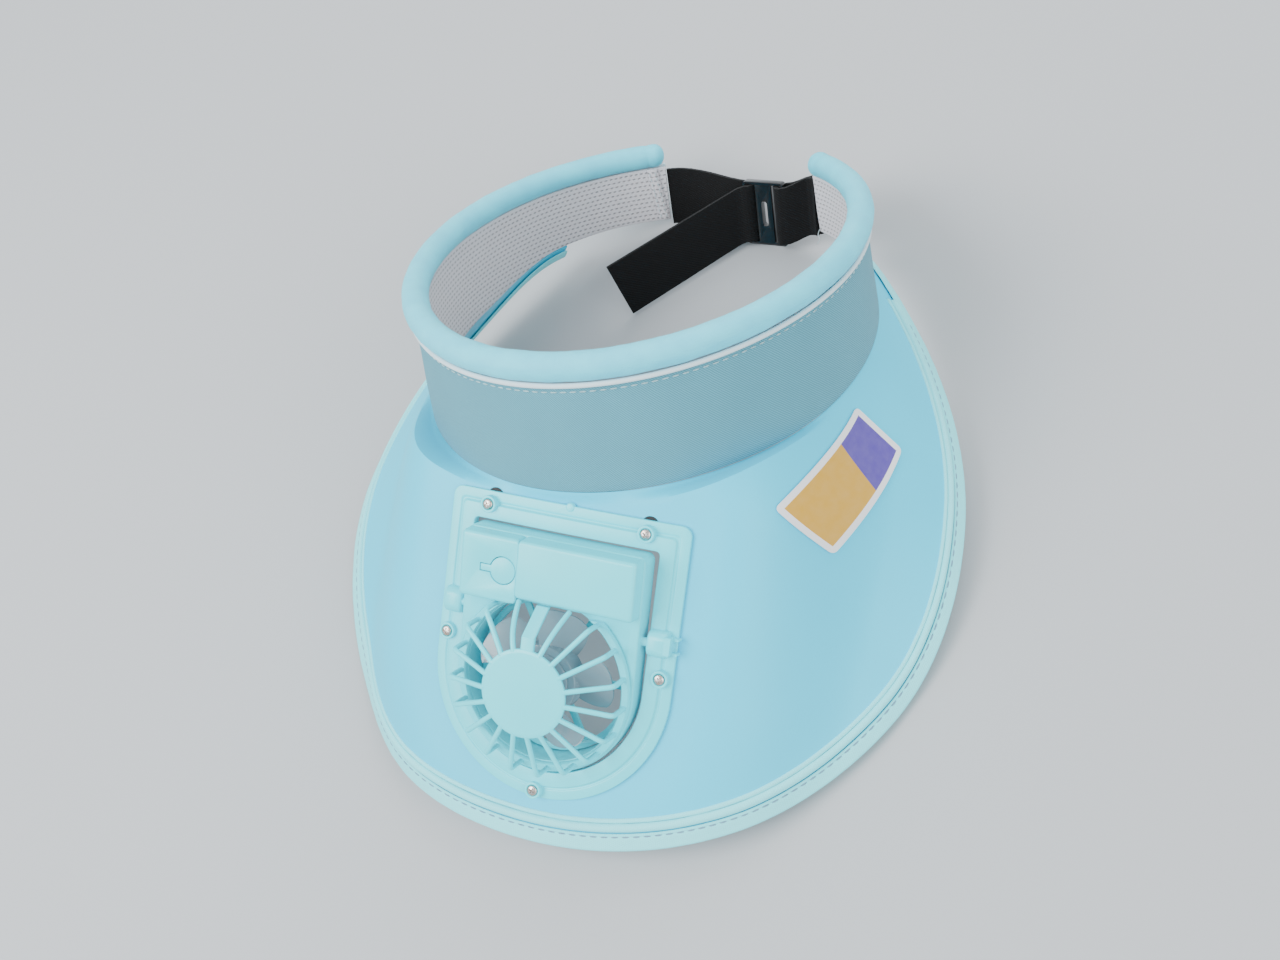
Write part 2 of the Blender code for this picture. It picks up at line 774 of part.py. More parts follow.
def build_housing(module):
    """Module body with its box, bore, panel step, hollow and pivot pins."""
    half, top = module_half(), module_top()
    profile = ((MODULE_CHAMFER, -MODULE_BACK), (0, MODULE_CHAMFER - MODULE_BACK),
               (0, MODULE_DECK - MODULE_CHAMFER / 2), (MODULE_CHAMFER / 2, MODULE_DECK))
    rings = []
    for inset, height in profile:
        outline = d_outline(half - inset, top - inset, MODULE_CORNER)
        rings.append([(x, y, height) for x, y in outline])
    housing = add_object("module_housing", loft("module_housing", rings), module, "mint_plastic")

    rings = []
    for inset, height in ((0, 0), (BOX_DRAFT, BOX_FRONT - BOX_ROUND), (BOX_DRAFT + BOX_ROUND / 3, BOX_FRONT - BOX_ROUND / 3),
                          (BOX_DRAFT + BOX_ROUND, BOX_FRONT)):
        side = half - BOX_INSET - inset
        outline = rounded_box((-side, BOX_FOOT + inset), (side, top - BOX_INSET - inset), BOX_ROUND)
        rings.append([(x, y, height) for x, y in outline])
    box = add_object("module_box", loft("module_box", rings), module)
    low = rounded_box((-half + BOX_INSET + BOX_DRAFT, BOX_FOOT - BOX_LEFT_DROP), (panel_seam(), BOX_FOOT + 2 * BOX_ROUND),
                      BOX_ROUND / 3)
    skirt = add_object("box_skirt", prism("box_skirt", low, 0, BOX_FRONT - PANEL_STEP - BOX_ROUND / 3), module)
    pins = []
    hinge = pivot_frame(MODULE_DROP, MODULE_RISE)
    reach = BEZEL_HALF - BORDER - LUG_OVERHANG + 0.8 * LUG_LENGTH
    for side, low, high in (("left", -reach, -half + PIN_RADIUS), ("right", half - PIN_RADIUS, reach)):
        pins.append(add_object(f"pin_{side}", rod("pin", PIN_RADIUS, low, high, 12, hinge), module))
    boolean(housing, "UNION", [box, skirt, *pins])

    bore = add_object("module_bore", rod("module_bore", BORE_RADIUS, -2 * BOX_FRONT, 2 * BOX_FRONT, 36), module)
    bore_limit = add_object("bore_limit", prism("bore_limit", rounded_box(
        (-half, BOX_FOOT - BOX_WALL), (half, 2 * top), BOX_ROUND), -3 * BOX_FRONT, 3 * BOX_FRONT), module)
    boolean(bore, "DIFFERENCE", [bore_limit])
    seam = panel_seam()
    step = add_object("panel_step", prism("panel_step", rounded_box(
        (-2 * half, 0), (seam, 2 * top), BOX_ROUND / 3), BOX_FRONT - PANEL_STEP, 2 * BOX_FRONT), module)
    low, high = hollow_corners()
    hollow = add_object("box_hollow", prism("box_hollow", rounded_box(low, high, BOX_ROUND), -2 * MODULE_BACK,
                                            BOX_FRONT - PANEL_STEP - BOX_WALL), module)
    slit = add_object("button_slit", prism("button_slit", button_outline(BUTTON_SLIT), 0, 2 * BOX_FRONT), module)
    slit.location = button_place()
    boolean(housing, "DIFFERENCE", [bore, step, hollow, slit])

    low, high = (low[0] + GAP, low[1] + GAP), (high[0] - GAP, high[1] - GAP)
    cover = prism("module_cover", rounded_box(low, high, BOX_ROUND), -MODULE_BACK, COVER_THICKNESS - MODULE_BACK)
    add_object("module_cover", cover, module, "mint_plastic")


def panel_seam():
    """Place across of the seam between the box's two panels."""
    side = module_half() - BOX_INSET - BOX_DRAFT
    return side * (2 * PANEL_SHARE - 1)


def hollow_corners():
    """Lower left and upper right corner of the box's hollow."""
    wall = BOX_WALL + BOX_INSET + BOX_DRAFT + MODULE_CHAMFER / 2
    half = module_half() - wall
    return (-half, BOX_FOOT + BOX_WALL + BOX_DRAFT), (half, module_top() - wall)


def button_place():
    """Centre of the button's round end, on the floor of the box's front."""
    across = panel_seam() - BUTTON_FROM_SEAM - BUTTON_RADIUS
    return Vector((across, BOX_FOOT + BUTTON_UP, 0))


def build_button(module):
    """Tongue-shaped power button, with its origin on the neck's root, where it bends."""
    low = -BUTTON_THICKNESS / 2
    root = BUTTON_RADIUS + BUTTON_NECK_LENGTH
    outline = [(x + root, y) for x, y in button_outline(0)]
    button = add_object("power_button", prism("power_button", outline, low, -low), module, "mint_plastic")
    button.location += button_place() - Vector((root, 0, 0))
    button.location.z += BOX_FRONT - PANEL_STEP + low


def build_grille(module):
    """Front grille: a disc, bent ribs, a wide strut and a base ring, as one piece."""
    disc = rod("front_grille", DISC_RADIUS, DISC_FRONT - DISC_THICKNESS, DISC_FRONT, 26)
    grille = add_object("front_grille", disc, module, "mint_plastic")
    middle = DISC_FRONT - DISC_THICKNESS / 2
    ring_low = MODULE_DECK + GAP
    ring_high = ring_low + GRILLE_RING_THICKNESS
    tools = []
    for i in range(1, GRILLE_PLACES):
        turn = math.radians(90 + 360 * i / GRILLE_PLACES)
        way = Vector((math.cos(turn), math.sin(turn), 0))
        start = (DISC_RADIUS - RIB_RADIUS, middle)
        route = (start, (RIB_REACH - 2 * RIB_RADIUS, middle - RIB_DROP),
                 (RIB_REACH, middle - RIB_DROP - 2 * RIB_RADIUS), (RIB_REACH, (ring_low + ring_high) / 2))
        if (RIB_REACH + 2 * RIB_RADIUS) * math.sin(turn) > BOX_FOOT:
            reach = (BOX_FOOT - GAP - RIB_RADIUS * abs(math.cos(turn))) / math.sin(turn)
            route = (start, (reach, BOX_FRONT - 2 * RIB_RADIUS))
        points = [way * reach + Vector((0, 0, height)) for reach, height in route]
        rib = tube(f"rib_{i}", points, [RIB_RADIUS] * len(points), 1, module)
        tools.append(as_mesh(rib, module))
    outer = RIB_REACH + GRILLE_RING_WIDTH / 2
    inner = outer - GRILLE_RING_WIDTH
    rings = []
    for radius, height in ((inner, ring_low), (outer, ring_low), (outer, ring_high), (inner, ring_high)):
        rings.append([(x, y, height) for x, y in arc((0, 0), radius, 0, 350, 35)])
    base = add_object("grille_base", loft("grille_base", rings, wrap=True), module)
    notch = rounded_box((-BORE_RADIUS, BOX_FOOT - BOX_LEFT_DROP - GAP), (BORE_RADIUS, 2 * BORE_RADIUS), BOX_ROUND / 3)
    boolean(base, "DIFFERENCE", [add_object("grille_notch", prism("grille_notch", notch, 0, DISC_FRONT), module)])
    tools.append(base)
    tools.append(build_strut(module, middle))
    boolean(grille, "UNION", tools)


def build_strut(module, middle):
    """Wide strut from the disc up to the box's foot, as a tool of the grille."""
    start = Vector((0, DISC_RADIUS - STRUT_THICKNESS, middle))
    end = Vector((0, BOX_FOOT - GAP, BOX_FRONT - STRUT_THICKNESS))
    half = STRUT_WIDTH / 2
    rings = []
    for point in (start, end):
        low, high = point.z - STRUT_THICKNESS / 2, point.z + STRUT_THICKNESS / 2
        rings.append([(-half, point.y, low), (half, point.y, low), (half, point.y, high), (-half, point.y, high)])
    return add_object("strut", loft("strut", rings), module)


def build_rotor(module):
    """Rotor: a hub with blades, and a shaft that stands in the motor cup."""
    hub = rod("rotor", HUB_RADIUS, HUB_BACK, HUB_FRONT, 24)
    rotor = add_object("rotor", hub, module, "blade_plastic")
    tools = []
    middle = (HUB_BACK + HUB_FRONT) / 2
    for i in range(BLADES):
        start = 360 * i / BLADES

        def place(u, v, start=start):
            radius = HUB_RADIUS - 2 * BLADE_THICKNESS + (ROTOR_RADIUS - HUB_RADIUS + 2 * BLADE_THICKNESS) * u
            turn = math.radians(start + BLADE_SPAN * (v - 0.5))
            height = middle + BLADE_RISE * (v - 0.5)
            return Vector((radius * math.cos(turn), radius * math.sin(turn), height))

        blade = add_object(f"blade_{i}", sheet("blade", 1, 4, place), module)
        thicken(blade, BLADE_THICKNESS, 0)
        tools.append(blade)
    shaft = rod("shaft", SHAFT_RADIUS, HUB_BACK - SHAFT_LENGTH, HUB_FRONT / 2, 12)
    tools.append(add_object("shaft", shaft, module))
    boolean(rotor, "UNION", tools)


def build_motor_mount(module):
    """Rear ring with spokes and the motor cup that takes the shaft."""
    back = -MODULE_BACK
    front = HUB_BACK - MOTOR_GAP
    mount = add_object("motor_mount", rod("motor_mount", MOTOR_RADIUS, back, front, 20), module, "mint_plastic")
    outer = BORE_RADIUS - GAP
    inner = outer - MOUNT_RING_WIDTH
    high = back + SPOKE_THICKNESS
    rings = []
    for radius, height in ((inner, back), (outer, back), (outer, high), (inner, high)):
        rings.append([(x, y, height) for x, y in arc((0, 0), radius, 0, 350, 35)])
    ring = add_object("mount_ring", loft("mount_ring", rings, wrap=True), module)
    limit = rounded_box((-BORE_RADIUS, BOX_FOOT - BOX_WALL - GAP), (BORE_RADIUS, 2 * BORE_RADIUS), BOX_ROUND)
    boolean(ring, "DIFFERENCE", [add_object("mount_notch", prism("mount_notch", limit, -2 * BOX_FRONT, BOX_FRONT), module)])
    tools = [ring]
    for i in range(SPOKES):
        spoke = rounded_box((MOTOR_RADIUS / 2, -SPOKE_WIDTH / 2), (inner + MOUNT_RING_WIDTH / 2, SPOKE_WIDTH / 2), SPOKE_WIDTH / 5)
        made = add_object(f"spoke_{i}", prism("spoke", spoke, back + SPOKE_THICKNESS / 8, high - SPOKE_THICKNESS / 8), module)
        made.rotation_euler.z = math.radians(360 * i / SPOKES)
        tools.append(made)
    boolean(mount, "UNION", tools)
    bottom = HUB_BACK - SHAFT_LENGTH - GAP
    bore = rod("motor_bore", SHAFT_RADIUS + GAP, bottom, 2 * HUB_FRONT, 12)
    boolean(mount, "DIFFERENCE", [add_object("motor_bore", bore, module)])


def ribbon(name, route, squares, parent, finish):
    """Flat strap along a route; its width stands upright, or square to the route by a share."""
    up = Vector((0, 0, 1))
    rings = []
    for i, (point, square) in enumerate(zip(route, squares)):
        way = (route[min(i + 1, len(route) - 1)] - route[max(i - 1, 0)]).normalized()
        rise = (up - square * up.dot(way) * way).normalized() * (STRAP_WIDTH / 2)
        side = way.cross(rise).normalized() * (STRAP_THICKNESS / 2)
        rings.append([point + rise + side, point - rise + side, point - rise - side, point + rise - side])
    return add_object(name, loft(name, rings), parent, finish)


def end_ray(angle, sign, drop):
    """Start and way of a strap that leaves the band's end."""
    end = band_point(angle, drop, 0)
    way = band_point(angle + sign, drop, 0) - end
    way.z = 0
    way.normalize()
    edges = (drop - STRAP_WIDTH / 2, drop + STRAP_WIDTH / 2)
    reach = max((band_point(angle, edge, 0) - end).dot(way) for edge in edges)
    return end + way * (reach + GAP), way


def blend_route(start, start_way, end, end_way, count):
    """Smooth route between two points that leaves and arrives along two ways."""
    points = [start]
    start = start + start_way * STRAP_THICKNESS
    pull = (end - start).length
    for i in range(count):
        t = i / count
        points.append(start * (1 + 2 * t) * (1 - t) ** 2 + start_way * pull * t * (1 - t) ** 2
                      + end * t * t * (3 - 2 * t) - end_way * pull * t * t * (1 - t))
    return points


def buckle_frame():
    """Frame of the buckle: X along the strap, Y up and Z into the hat."""
    left = band_point(-LEFT_END, BUCKLE_DROP, 0)
    right = band_point(RIGHT_END, BUCKLE_DROP, 0)
    along = right - left
    centre = left + along * BUCKLE_SHARE
    along.z = 0
    along.normalize()
    centre.z = -BUCKLE_DROP
    up = Vector((0, 0, 1))
    frame = Matrix((along, up, along.cross(up))).transposed().to_4x4()
    frame.translation = centre
    return frame


def build_closure(hat):
    """Strap, buckle and tab at the back of the band."""
    frame = buckle_frame()
    half = BUCKLE_LENGTH / 2
    window = (BUCKLE_WINDOW, (STRAP_WIDTH + 3 * GAP) / 2)
    far = half - BUCKLE_BAR
    outlines = [rounded_box((-half, -BUCKLE_HEIGHT / 2), (half, BUCKLE_HEIGHT / 2), BUCKLE_CORNER)]
    plate = add_object("buckle", prism("buckle", outlines[0], -BUCKLE_THICKNESS / 2, BUCKLE_THICKNESS / 2), hat, "black_plastic")
    plate.matrix_local = frame
    cuts = []
    slot_half = BUCKLE_SLOT_WIDTH / 2
    for i, (low, high, tall, corner) in enumerate((
            (-far, window[0] - far, window[1], BUCKLE_CORNER / 3), (far - window[0], far, window[1], BUCKLE_CORNER / 3),
            (-slot_half, slot_half, BUCKLE_SLOT_LENGTH / 2, 0.9 * slot_half)), 1):
        outline = rounded_box((low, -tall), (high, tall), corner)
        cut = add_object(f"buckle_window_{i}", prism("window", outline, -BUCKLE_THICKNESS, BUCKLE_THICKNESS), hat)
        cut.matrix_local = frame
        cuts.append(cut)
    boolean(plate, "DIFFERENCE", cuts)

    bar = half - BUCKLE_BAR / 2
    turn_radius = math.hypot(BUCKLE_BAR / 2, BUCKLE_THICKNESS / 2) + GAP + STRAP_THICKNESS / 2
    along = frame.to_3x3() @ Vector((1, 0, 0))

    def round_bar(sign):
        turn = [math.radians(-90 + 180 * i / 8) for i in range(9)]
        return [frame @ Vector((sign * (turn_radius * math.cos(t) - bar), 0, turn_radius * math.sin(t))) for t in turn]

    start, way = end_ray(-LEFT_END, -1, STRAP_DROP)
    loop = round_bar(1)
    route = blend_route(start, way, loop[0], along, 8) + loop
    turn_to = frame.to_3x3()
    point = loop[-1].copy()
    steps = 4
    dip = math.tan(math.radians(TAIL_DIP))
    for i in range(1, steps + 1):
        turn = math.radians(TAIL_TURN * (i - 0.5) / steps)
        step = math.radians(TAIL_TURN) * TAIL_TURN_RADIUS / steps
        point = point + turn_to @ Vector((-math.cos(turn), -dip, math.sin(turn))) * step
        route.append(point)
    turn = math.radians(TAIL_TURN)
    way = turn_to @ Vector((-math.cos(turn), -dip, math.sin(turn))).normalized()
    squares = [0.0] * len(route)
    parts = 4
    for i in range(1, parts + 1):
        route.append(point + way * TAIL_LENGTH * i / parts)
        squares.append(i / parts)
    ribbon("strap", route, squares, hat, "black_webbing")

    start, way = end_ray(RIGHT_END, 1, STRAP_DROP)
    out = way.cross(Vector((0, 0, 1))) * (STRAP_THICKNESS / 2 + GAP)
    loop = round_bar(-1)
    there = blend_route(start + out, way, loop[0], -along, 5)
    back = blend_route(start - out, way, loop[-1], -along, 5)
    route = there + loop + back[::-1]
    ribbon("buckle_tab", route, [0.0] * len(route), hat, "black_webbing")


def weight_and_hull(pieces):
    """Points of all pieces and their common middle of volume."""
    graph = bpy.context.evaluated_depsgraph_get()
    points, total, middle = [], 0.0, Vector()
    for piece in pieces:
        mesh = piece.evaluated_get(graph).to_mesh()
        mesh.calc_loop_triangles()
        place = piece.matrix_world
        corners = [place @ vert.co for vert in mesh.vertices]
        points += corners
        for face in mesh.loop_triangles:
            a, b, c = (corners[i] for i in face.vertices)
            volume = a.dot(b.cross(c)) / 6
            total += volume
            middle += volume * (a + b + c) / 4
        piece.evaluated_get(graph).to_mesh_clear()
    return points, middle / total


def resting_matrix(pieces):
    """Turn and lift that lay the hat on its natural rest, over the origin."""
    bpy.context.view_layer.update()
    points, middle = weight_and_hull(pieces)
    shape = bmesh.new()
    for point in points:
        shape.verts.new(point)
    bmesh.ops.convex_hull(shape, input=shape.verts)
    shape.normal_update()
    down = Vector((0, 0, -1))
    best, normal = None, down
    for face in shape.faces:
        if face.normal.dot(down) < 0.5:
            continue
        reach = face.calc_center_median() - middle
        spot = middle + face.normal * reach.dot(face.normal)
        edges = zip(face.verts, [*face.verts[1:], face.verts[0]])
        inside = min((b.co - a.co).cross(spot - a.co).dot(face.normal) for a, b in edges)
        if best is None or inside > best:
            best, normal = inside, face.normal.copy()
    shape.free()
    turn = normal.rotation_difference(down).to_matrix()
    laid = [turn @ point for point in points]
    low = [min(point[axis] for point in laid) for axis in range(3)]
    high = [max(point[axis] for point in laid) for axis in range(3)]
    place = turn.to_4x4()
    place.translation = (-(low[0] + high[0]) / 2, -(low[1] + high[1]) / 2, -low[2])
    return place


def main():
    """Build the hat in its own frame and lay it on the ground."""
    for old in list(bpy.data.objects):
        bpy.data.objects.remove(old)
    hat = add_empty("hat_frame", None, Matrix())
    fan = add_empty("fan_frame", hat, FAN)
    tilted = Matrix.Rotation(math.radians(MODULE_TILT), 4, "X")
    tilt = add_empty("fan_tilt_axis", fan, Matrix.Translation((0, PIVOT_UP, PIVOT_OUT)) @ tilted)
    module = add_empty("module_frame", tilt, Matrix.Translation((0, -PIVOT_UP - MODULE_DROP, MODULE_RISE - PIVOT_OUT)))
    bpy.context.view_layer.update()
    build_band(hat)
    build_brim(hat, fan)
    build_label(hat)
    build_bezel(fan)
    build_housing(module)
    build_button(module)
    build_grille(module)
    build_rotor(module)
    build_motor_mount(module)
    build_closure(hat)
    pieces = [piece for piece in collection("fan_sun_hat").objects if piece.type != "EMPTY"]
    hat.matrix_local = resting_matrix(pieces)
    bpy.context.view_layer.update()


main()
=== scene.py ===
"""Looks of the fan sun hat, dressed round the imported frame. Metres, +Z up, front towards -Y.

Cloth follows the hat's own surfaces: an angle is counted round the hat from the front, positive
towards +X, and a place on the brim is its distance down the slope. Plastic pieces are worked in
the frame of the fan (X across, Y up the brim, Z out of it) and then placed.
"""

import json
import logging
import math
from contextlib import contextmanager
from dataclasses import dataclass, field
from enum import Enum
from functools import cache
from typing import Callable, Iterable, Iterator, Sequence

import bmesh
import bpy
from mathutils import Matrix, Vector, noise


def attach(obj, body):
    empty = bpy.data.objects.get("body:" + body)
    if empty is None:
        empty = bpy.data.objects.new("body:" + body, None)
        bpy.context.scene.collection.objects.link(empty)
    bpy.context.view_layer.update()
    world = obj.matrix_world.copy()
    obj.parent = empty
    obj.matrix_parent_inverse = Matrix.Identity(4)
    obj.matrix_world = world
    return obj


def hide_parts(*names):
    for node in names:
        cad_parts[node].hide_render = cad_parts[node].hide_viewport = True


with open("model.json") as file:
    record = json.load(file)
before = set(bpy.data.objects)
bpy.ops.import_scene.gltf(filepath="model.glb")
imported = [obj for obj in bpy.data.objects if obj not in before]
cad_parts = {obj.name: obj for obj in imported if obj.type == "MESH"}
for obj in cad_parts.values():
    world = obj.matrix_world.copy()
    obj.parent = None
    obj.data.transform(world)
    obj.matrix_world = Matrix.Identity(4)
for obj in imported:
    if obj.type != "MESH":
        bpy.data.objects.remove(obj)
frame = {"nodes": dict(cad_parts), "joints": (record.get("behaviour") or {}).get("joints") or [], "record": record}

log = logging.getLogger("fan_sun_hat")
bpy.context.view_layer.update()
MERGE = 0.000001
Point = tuple[float, float]
Piece = bpy.types.Object


class Body(Enum):
    """Bodies of the frame that pieces ride on."""

    HAT = "hat_body"
    MODULE = "fan_module"
    ROTOR = "fan_rotor"
    BUTTON = "power_key"


def joint(name: str) -> dict:
    """The frame's joint of that name."""
    return next(j for j in frame["joints"] if j["name"] == name)


def axes(across: Vector, up: Vector, out: Vector, origin: Vector) -> Matrix:
    """Frame with these vectors as its X, Y and Z, about an origin."""
    place = Matrix((across, up, out)).transposed().to_4x4()
    place.translation = origin
    return place


def hat_place() -> Matrix:
    """Frame of the hat, from the head opening that the record states.

    Returns:
        A matrix with the middle of the head oval as its origin and +Z out of the opening.
    """
    mount = frame["record"]["mounts"][0]
    turn = Vector((0, 0, 1)).rotation_difference(Vector(mount["axis"])).to_matrix().to_4x4()
    return Matrix.Translation(mount["pos_m"]) @ turn


def module_place() -> Matrix:
    """Frame of the fan module, from its two joints.

    Returns:
        A matrix with X along the tilt axis, Z along the rotor's axis and the rotor's centre as origin.
    """
    spin = joint("rotor_spin")
    out = Vector(spin["axis"]).normalized()
    across = Vector(joint("fan_tilt")["axis"]).normalized()
    return axes(across, out.cross(across), out, Vector(spin["pos_m"]))


HAT = hat_place()
MODULE = module_place()


@dataclass(frozen=True)
class BandRow:
    """Height of the band at an angle, as a share of its full height."""

    angle: float
    height: float


@dataclass(frozen=True)
class BrimRow:
    """Width of the brim at an angle, as a share of its full width, and its slope in degrees."""

    angle: float
    width: float
    slope: float


def smooth(share: float) -> float:
    """Ease a share between 0 and 1."""
    share = min(max(share, 0.0), 1.0)
    return share * share * (3 - 2 * share)


def spread(start: float, end: float, count: int) -> list[float]:
    """Values from start to end in equal steps, both included."""
    return [start + (end - start) * i / count for i in range(count + 1)]


def radians(*degrees: float) -> list[float]:
    """Angles in radians."""
    return [math.radians(angle) for angle in degrees]


def run_length(points: Sequence[Vector]) -> float:
    """Length of the path through points."""
    return sum((b - a).length for a, b in zip(points, points[1:]))


def table_value(rows: Sequence, angle: float, column: str) -> float:
    """Read a table's column at an angle, along a curve that doesn't overshoot its rows.

    Args:
        rows: Rows of the table, by rising angle.
        angle: Angle round the hat, in degrees; its sign doesn't matter.
        column: Name of the column.

    Returns:
        The column's value there.
    """
    xs = [row.angle for row in rows]
    ys = [getattr(row, column) for row in rows]
    x = min(max(abs(angle), xs[0]), xs[-1])
    left = max(i for i in range(len(xs) - 1) if xs[i] <= x)
    steps = [(ys[i + 1] - ys[i]) / (xs[i + 1] - xs[i]) for i in range(len(xs) - 1)]
    slopes = [0.0] * len(xs)
    for i in range(1, len(xs) - 1):
        if steps[i - 1] * steps[i] > 0:
            slopes[i] = 2 * steps[i - 1] * steps[i] / (steps[i - 1] + steps[i])
    width = xs[left + 1] - xs[left]
    t = (x - xs[left]) / width
    return (ys[left] * (1 + 2 * t) * (1 - t) ** 2 + slopes[left] * width * t * (1 - t) ** 2
            + ys[left + 1] * t * t * (3 - 2 * t) - slopes[left + 1] * width * t * t * (1 - t))


@dataclass(frozen=True)
class FanPlace:
    """Where the fan unit sits on the brim, and the sizes that its pieces share."""

    down: float = 0.0618
    shift: float = -0.0035
    rise: float = 0.0004
    slope: float = 61.7
    twist: float = 5.6
    bend_radius: float = 0.70
    half: float = 0.0433
    top: float = 0.0576
    border: float = 0.0095
    foot: float = 0.0003
    pivot_up: float = 0.0185
    pivot_out: float = 0.0026

    def bend(self, across: float) -> float:
        """How far the bezel's bend has fallen back at a distance from its middle."""
        return -across * across / (2 * self.bend_radius)

    def outside(self, across: float, up: float) -> float:
        """Distance from a point of the fan's plane to the bezel's outline, 0 inside it."""
        if up < 0:
            return max(math.hypot(across, up) - self.half, 0.0)
        return math.hypot(max(abs(across) - self.half, 0.0), max(up - self.top, 0.0))

    def on_bend(self, across: float, up: float) -> Matrix:
        """Frame on the bezel's bend, with Z square to it."""
        lean = Matrix.Rotation(math.atan(across / self.bend_radius), 4, "Y")
        return Matrix.Translation((across, up, self.bend(across))) @ lean


@dataclass(frozen=True)
class HatShape:
    """Sizes of the hat and the surfaces that its cloth follows, in the hat's own frame."""

    gap: float = 0.0003
    half_width: float = 0.0794
    half_length: float = 0.0954
    left_end: float = 164.0
    right_end: float = 144.0
    height: float = 0.0458
    side_flare: float = 0.0033
    front_flare: float = 0.0001
    side_rise: float = 0.0021
    cloth: float = 0.0016
    roll: float = 0.0048
    piping: float = 0.0009
    piping_out: float = 0.0024
    brim: float = 0.1218
    brim_wall: float = 0.0015
    brim_end: float = 132.0
    brim_tuck: float = 0.00065
    binding: float = 0.0065
    binding_wall: float = 0.0008
    binding_round: float = 0.0011
    binding_slack: float = 0.0004
    ridge: float = 0.0012
    ridge_inset: float = 0.0085
    flat_margin: float = 0.009
    flat_blend: float = 0.045
    seam_blend: float = 0.0040
    fan: FanPlace = FanPlace()
    band_rows: tuple = (BandRow(0, 1.00), BandRow(50, 0.99), BandRow(100, 0.88),
                        BandRow(130, 0.66), BandRow(150, 0.63), BandRow(180, 0.63))
    brim_rows: tuple = (BrimRow(0, 1.000, 64.0), BrimRow(25, 0.966, 63.0), BrimRow(50, 0.837, 59.6),
                        BrimRow(75, 0.525, 50.5), BrimRow(100, 0.244, 47.3),
                        BrimRow(125, 0.077, 47.3), BrimRow(140, 0.060, 47.3))

    def band_height(self, angle: float) -> float:
        """Drop from the roll's centre line to the band's lower edge."""
        return self.height * table_value(self.band_rows, angle, "height")

    def outward(self, angle: float, share: float = 0.0) -> Vector:
        """Level unit vector that points out of the band's oval, at a share of its drop."""
        turn = math.radians(angle)
        wide = self.half_width + self.side_flare * share
        long = self.half_length + self.front_flare * share
        return Vector((math.sin(turn) / wide, -math.cos(turn) / long, 0)).normalized()

    def round_out(self, angle: float, turn: float) -> Vector:
        """Unit vector round the band's section: outwards at 0, up after a quarter turn."""
        return math.cos(turn) * self.outward(angle) + Vector((0, 0, math.sin(turn)))

    def band_point(self, angle: float, drop: float, out: float) -> Vector:
        """Point of the band, a drop below the roll's centre line and out from its middle surface."""
        turn = math.radians(angle)
        share = drop / self.band_height(angle)
        wide = self.half_width + self.side_flare * share
        long = self.half_length + self.front_flare * share
        height = self.side_rise * math.sin(turn) ** 2 - drop
        point = Vector((wide * math.sin(turn), -long * math.cos(turn), height))
        return point + out * self.outward(angle, share)

    def cone_point(self, angle: float, along: float) -> Vector:
        """Point of the brim before the fan flattens it."""
        slope = math.radians(table_value(self.brim_rows, angle, "slope"))
        seat = self.gap / 2 + self.cloth - self.brim_tuck
        start = self.band_point(angle, self.band_height(angle) + self.gap, seat)
        way = math.cos(slope) * self.outward(angle, 1.0) - Vector((0, 0, math.sin(slope)))
        return start + along * way

    def fan_frame(self) -> Matrix:
        """Frame of the fan: X across, Y up the brim and Z out of it."""
        fan = self.fan
        slope = math.radians(fan.slope)
        across = Vector((1, 0, 0))
        up = Vector((0, math.cos(slope), math.sin(slope)))
        place = axes(across, up, across.cross(up), self.cone_point(0, fan.down))
        shift = Matrix.Translation((fan.shift, 0, fan.rise))
        return place @ shift @ Matrix.Rotation(-math.radians(fan.twist), 4, "Z")

    def brim_width(self, angle: float) -> float:
        """Width of the brim along its slope, binding included."""
        return self.brim * table_value(self.brim_rows, angle, "width")

    def sheet_inset(self) -> float:
        """How far the sheet's edge stays inside the rim, under the binding."""
        return self.binding_wall + self.binding_round / 2 + self.gap

    def brim_surface(self, angle: float, along: float) -> Vector:
        """Point of the brim's outer face, drawn to the bezel's bend round the fan."""
        point = FAN_BACK @ self.cone_point(angle, along)
        away = self.fan.outside(point.x, point.y) - self.flat_margin
        share = smooth(1 - away / self.flat_blend) * smooth(along / self.seam_blend)
        point.z += share * (self.fan.bend(point.x) - point.z)
        return FAN @ point

    def brim_point(self, angle: float, along: float, out: float) -> Vector:
        """Point out from the brim's outer face, square to it."""
        turn, step = 0.5, 0.0005
        across = self.brim_surface(angle + turn, along) - self.brim_surface(angle - turn, along)
        down = self.brim_surface(angle, along + step) - self.brim_surface(angle, along - step)
        return self.brim_surface(angle, along) + out * down.cross(across).normalized()

    def arc_length(self, angle: float) -> float:
        """Length round the band over an angle, by the oval's mean radius; the walls are up to 4% longer."""
        return math.radians(angle) * (self.half_width + self.half_length) / 2


SHAPE = HatShape()
FAN = SHAPE.fan_frame()
FAN_BACK = FAN.inverted()
FAN_WORLD = HAT @ FAN


def activate(piece: Piece) -> None:
    """Make one piece the only selected and the active one."""
    bpy.ops.object.select_all(action="DESELECT")
    piece.select_set(True)
    bpy.context.view_layer.objects.active = piece


def named(name: str) -> Piece:
    """Name the active object and its mesh."""
    piece = bpy.context.object
    piece.name = piece.data.name = name
    return piece


def start_from(primitive: Callable, name: str, **sizes: object) -> Piece:
    """Add a primitive with nothing else selected, and name it.

    Args:
        primitive: Operator that adds it.
        name: Name of the new piece.
        sizes: Settings of the operator.

    Returns:
        The new piece.
    """
    bpy.ops.object.select_all(action="DESELECT")
    primitive(**sizes)
    return named(name)


@contextmanager
def editing(piece: Piece) -> Iterator[None]:
    """Edit mode on one piece, with all of it selected."""
    activate(piece)
    bpy.ops.object.mode_set(mode="EDIT")
    bpy.ops.mesh.select_all(action="SELECT")
    yield
    bpy.ops.object.mode_set(mode="OBJECT")


def apply_modifiers(piece: Piece) -> None:
    """Apply all of a piece's modifiers."""
    activate(piece)
    for change in list(piece.modifiers):
        bpy.ops.object.modifier_apply(modifier=change.name)


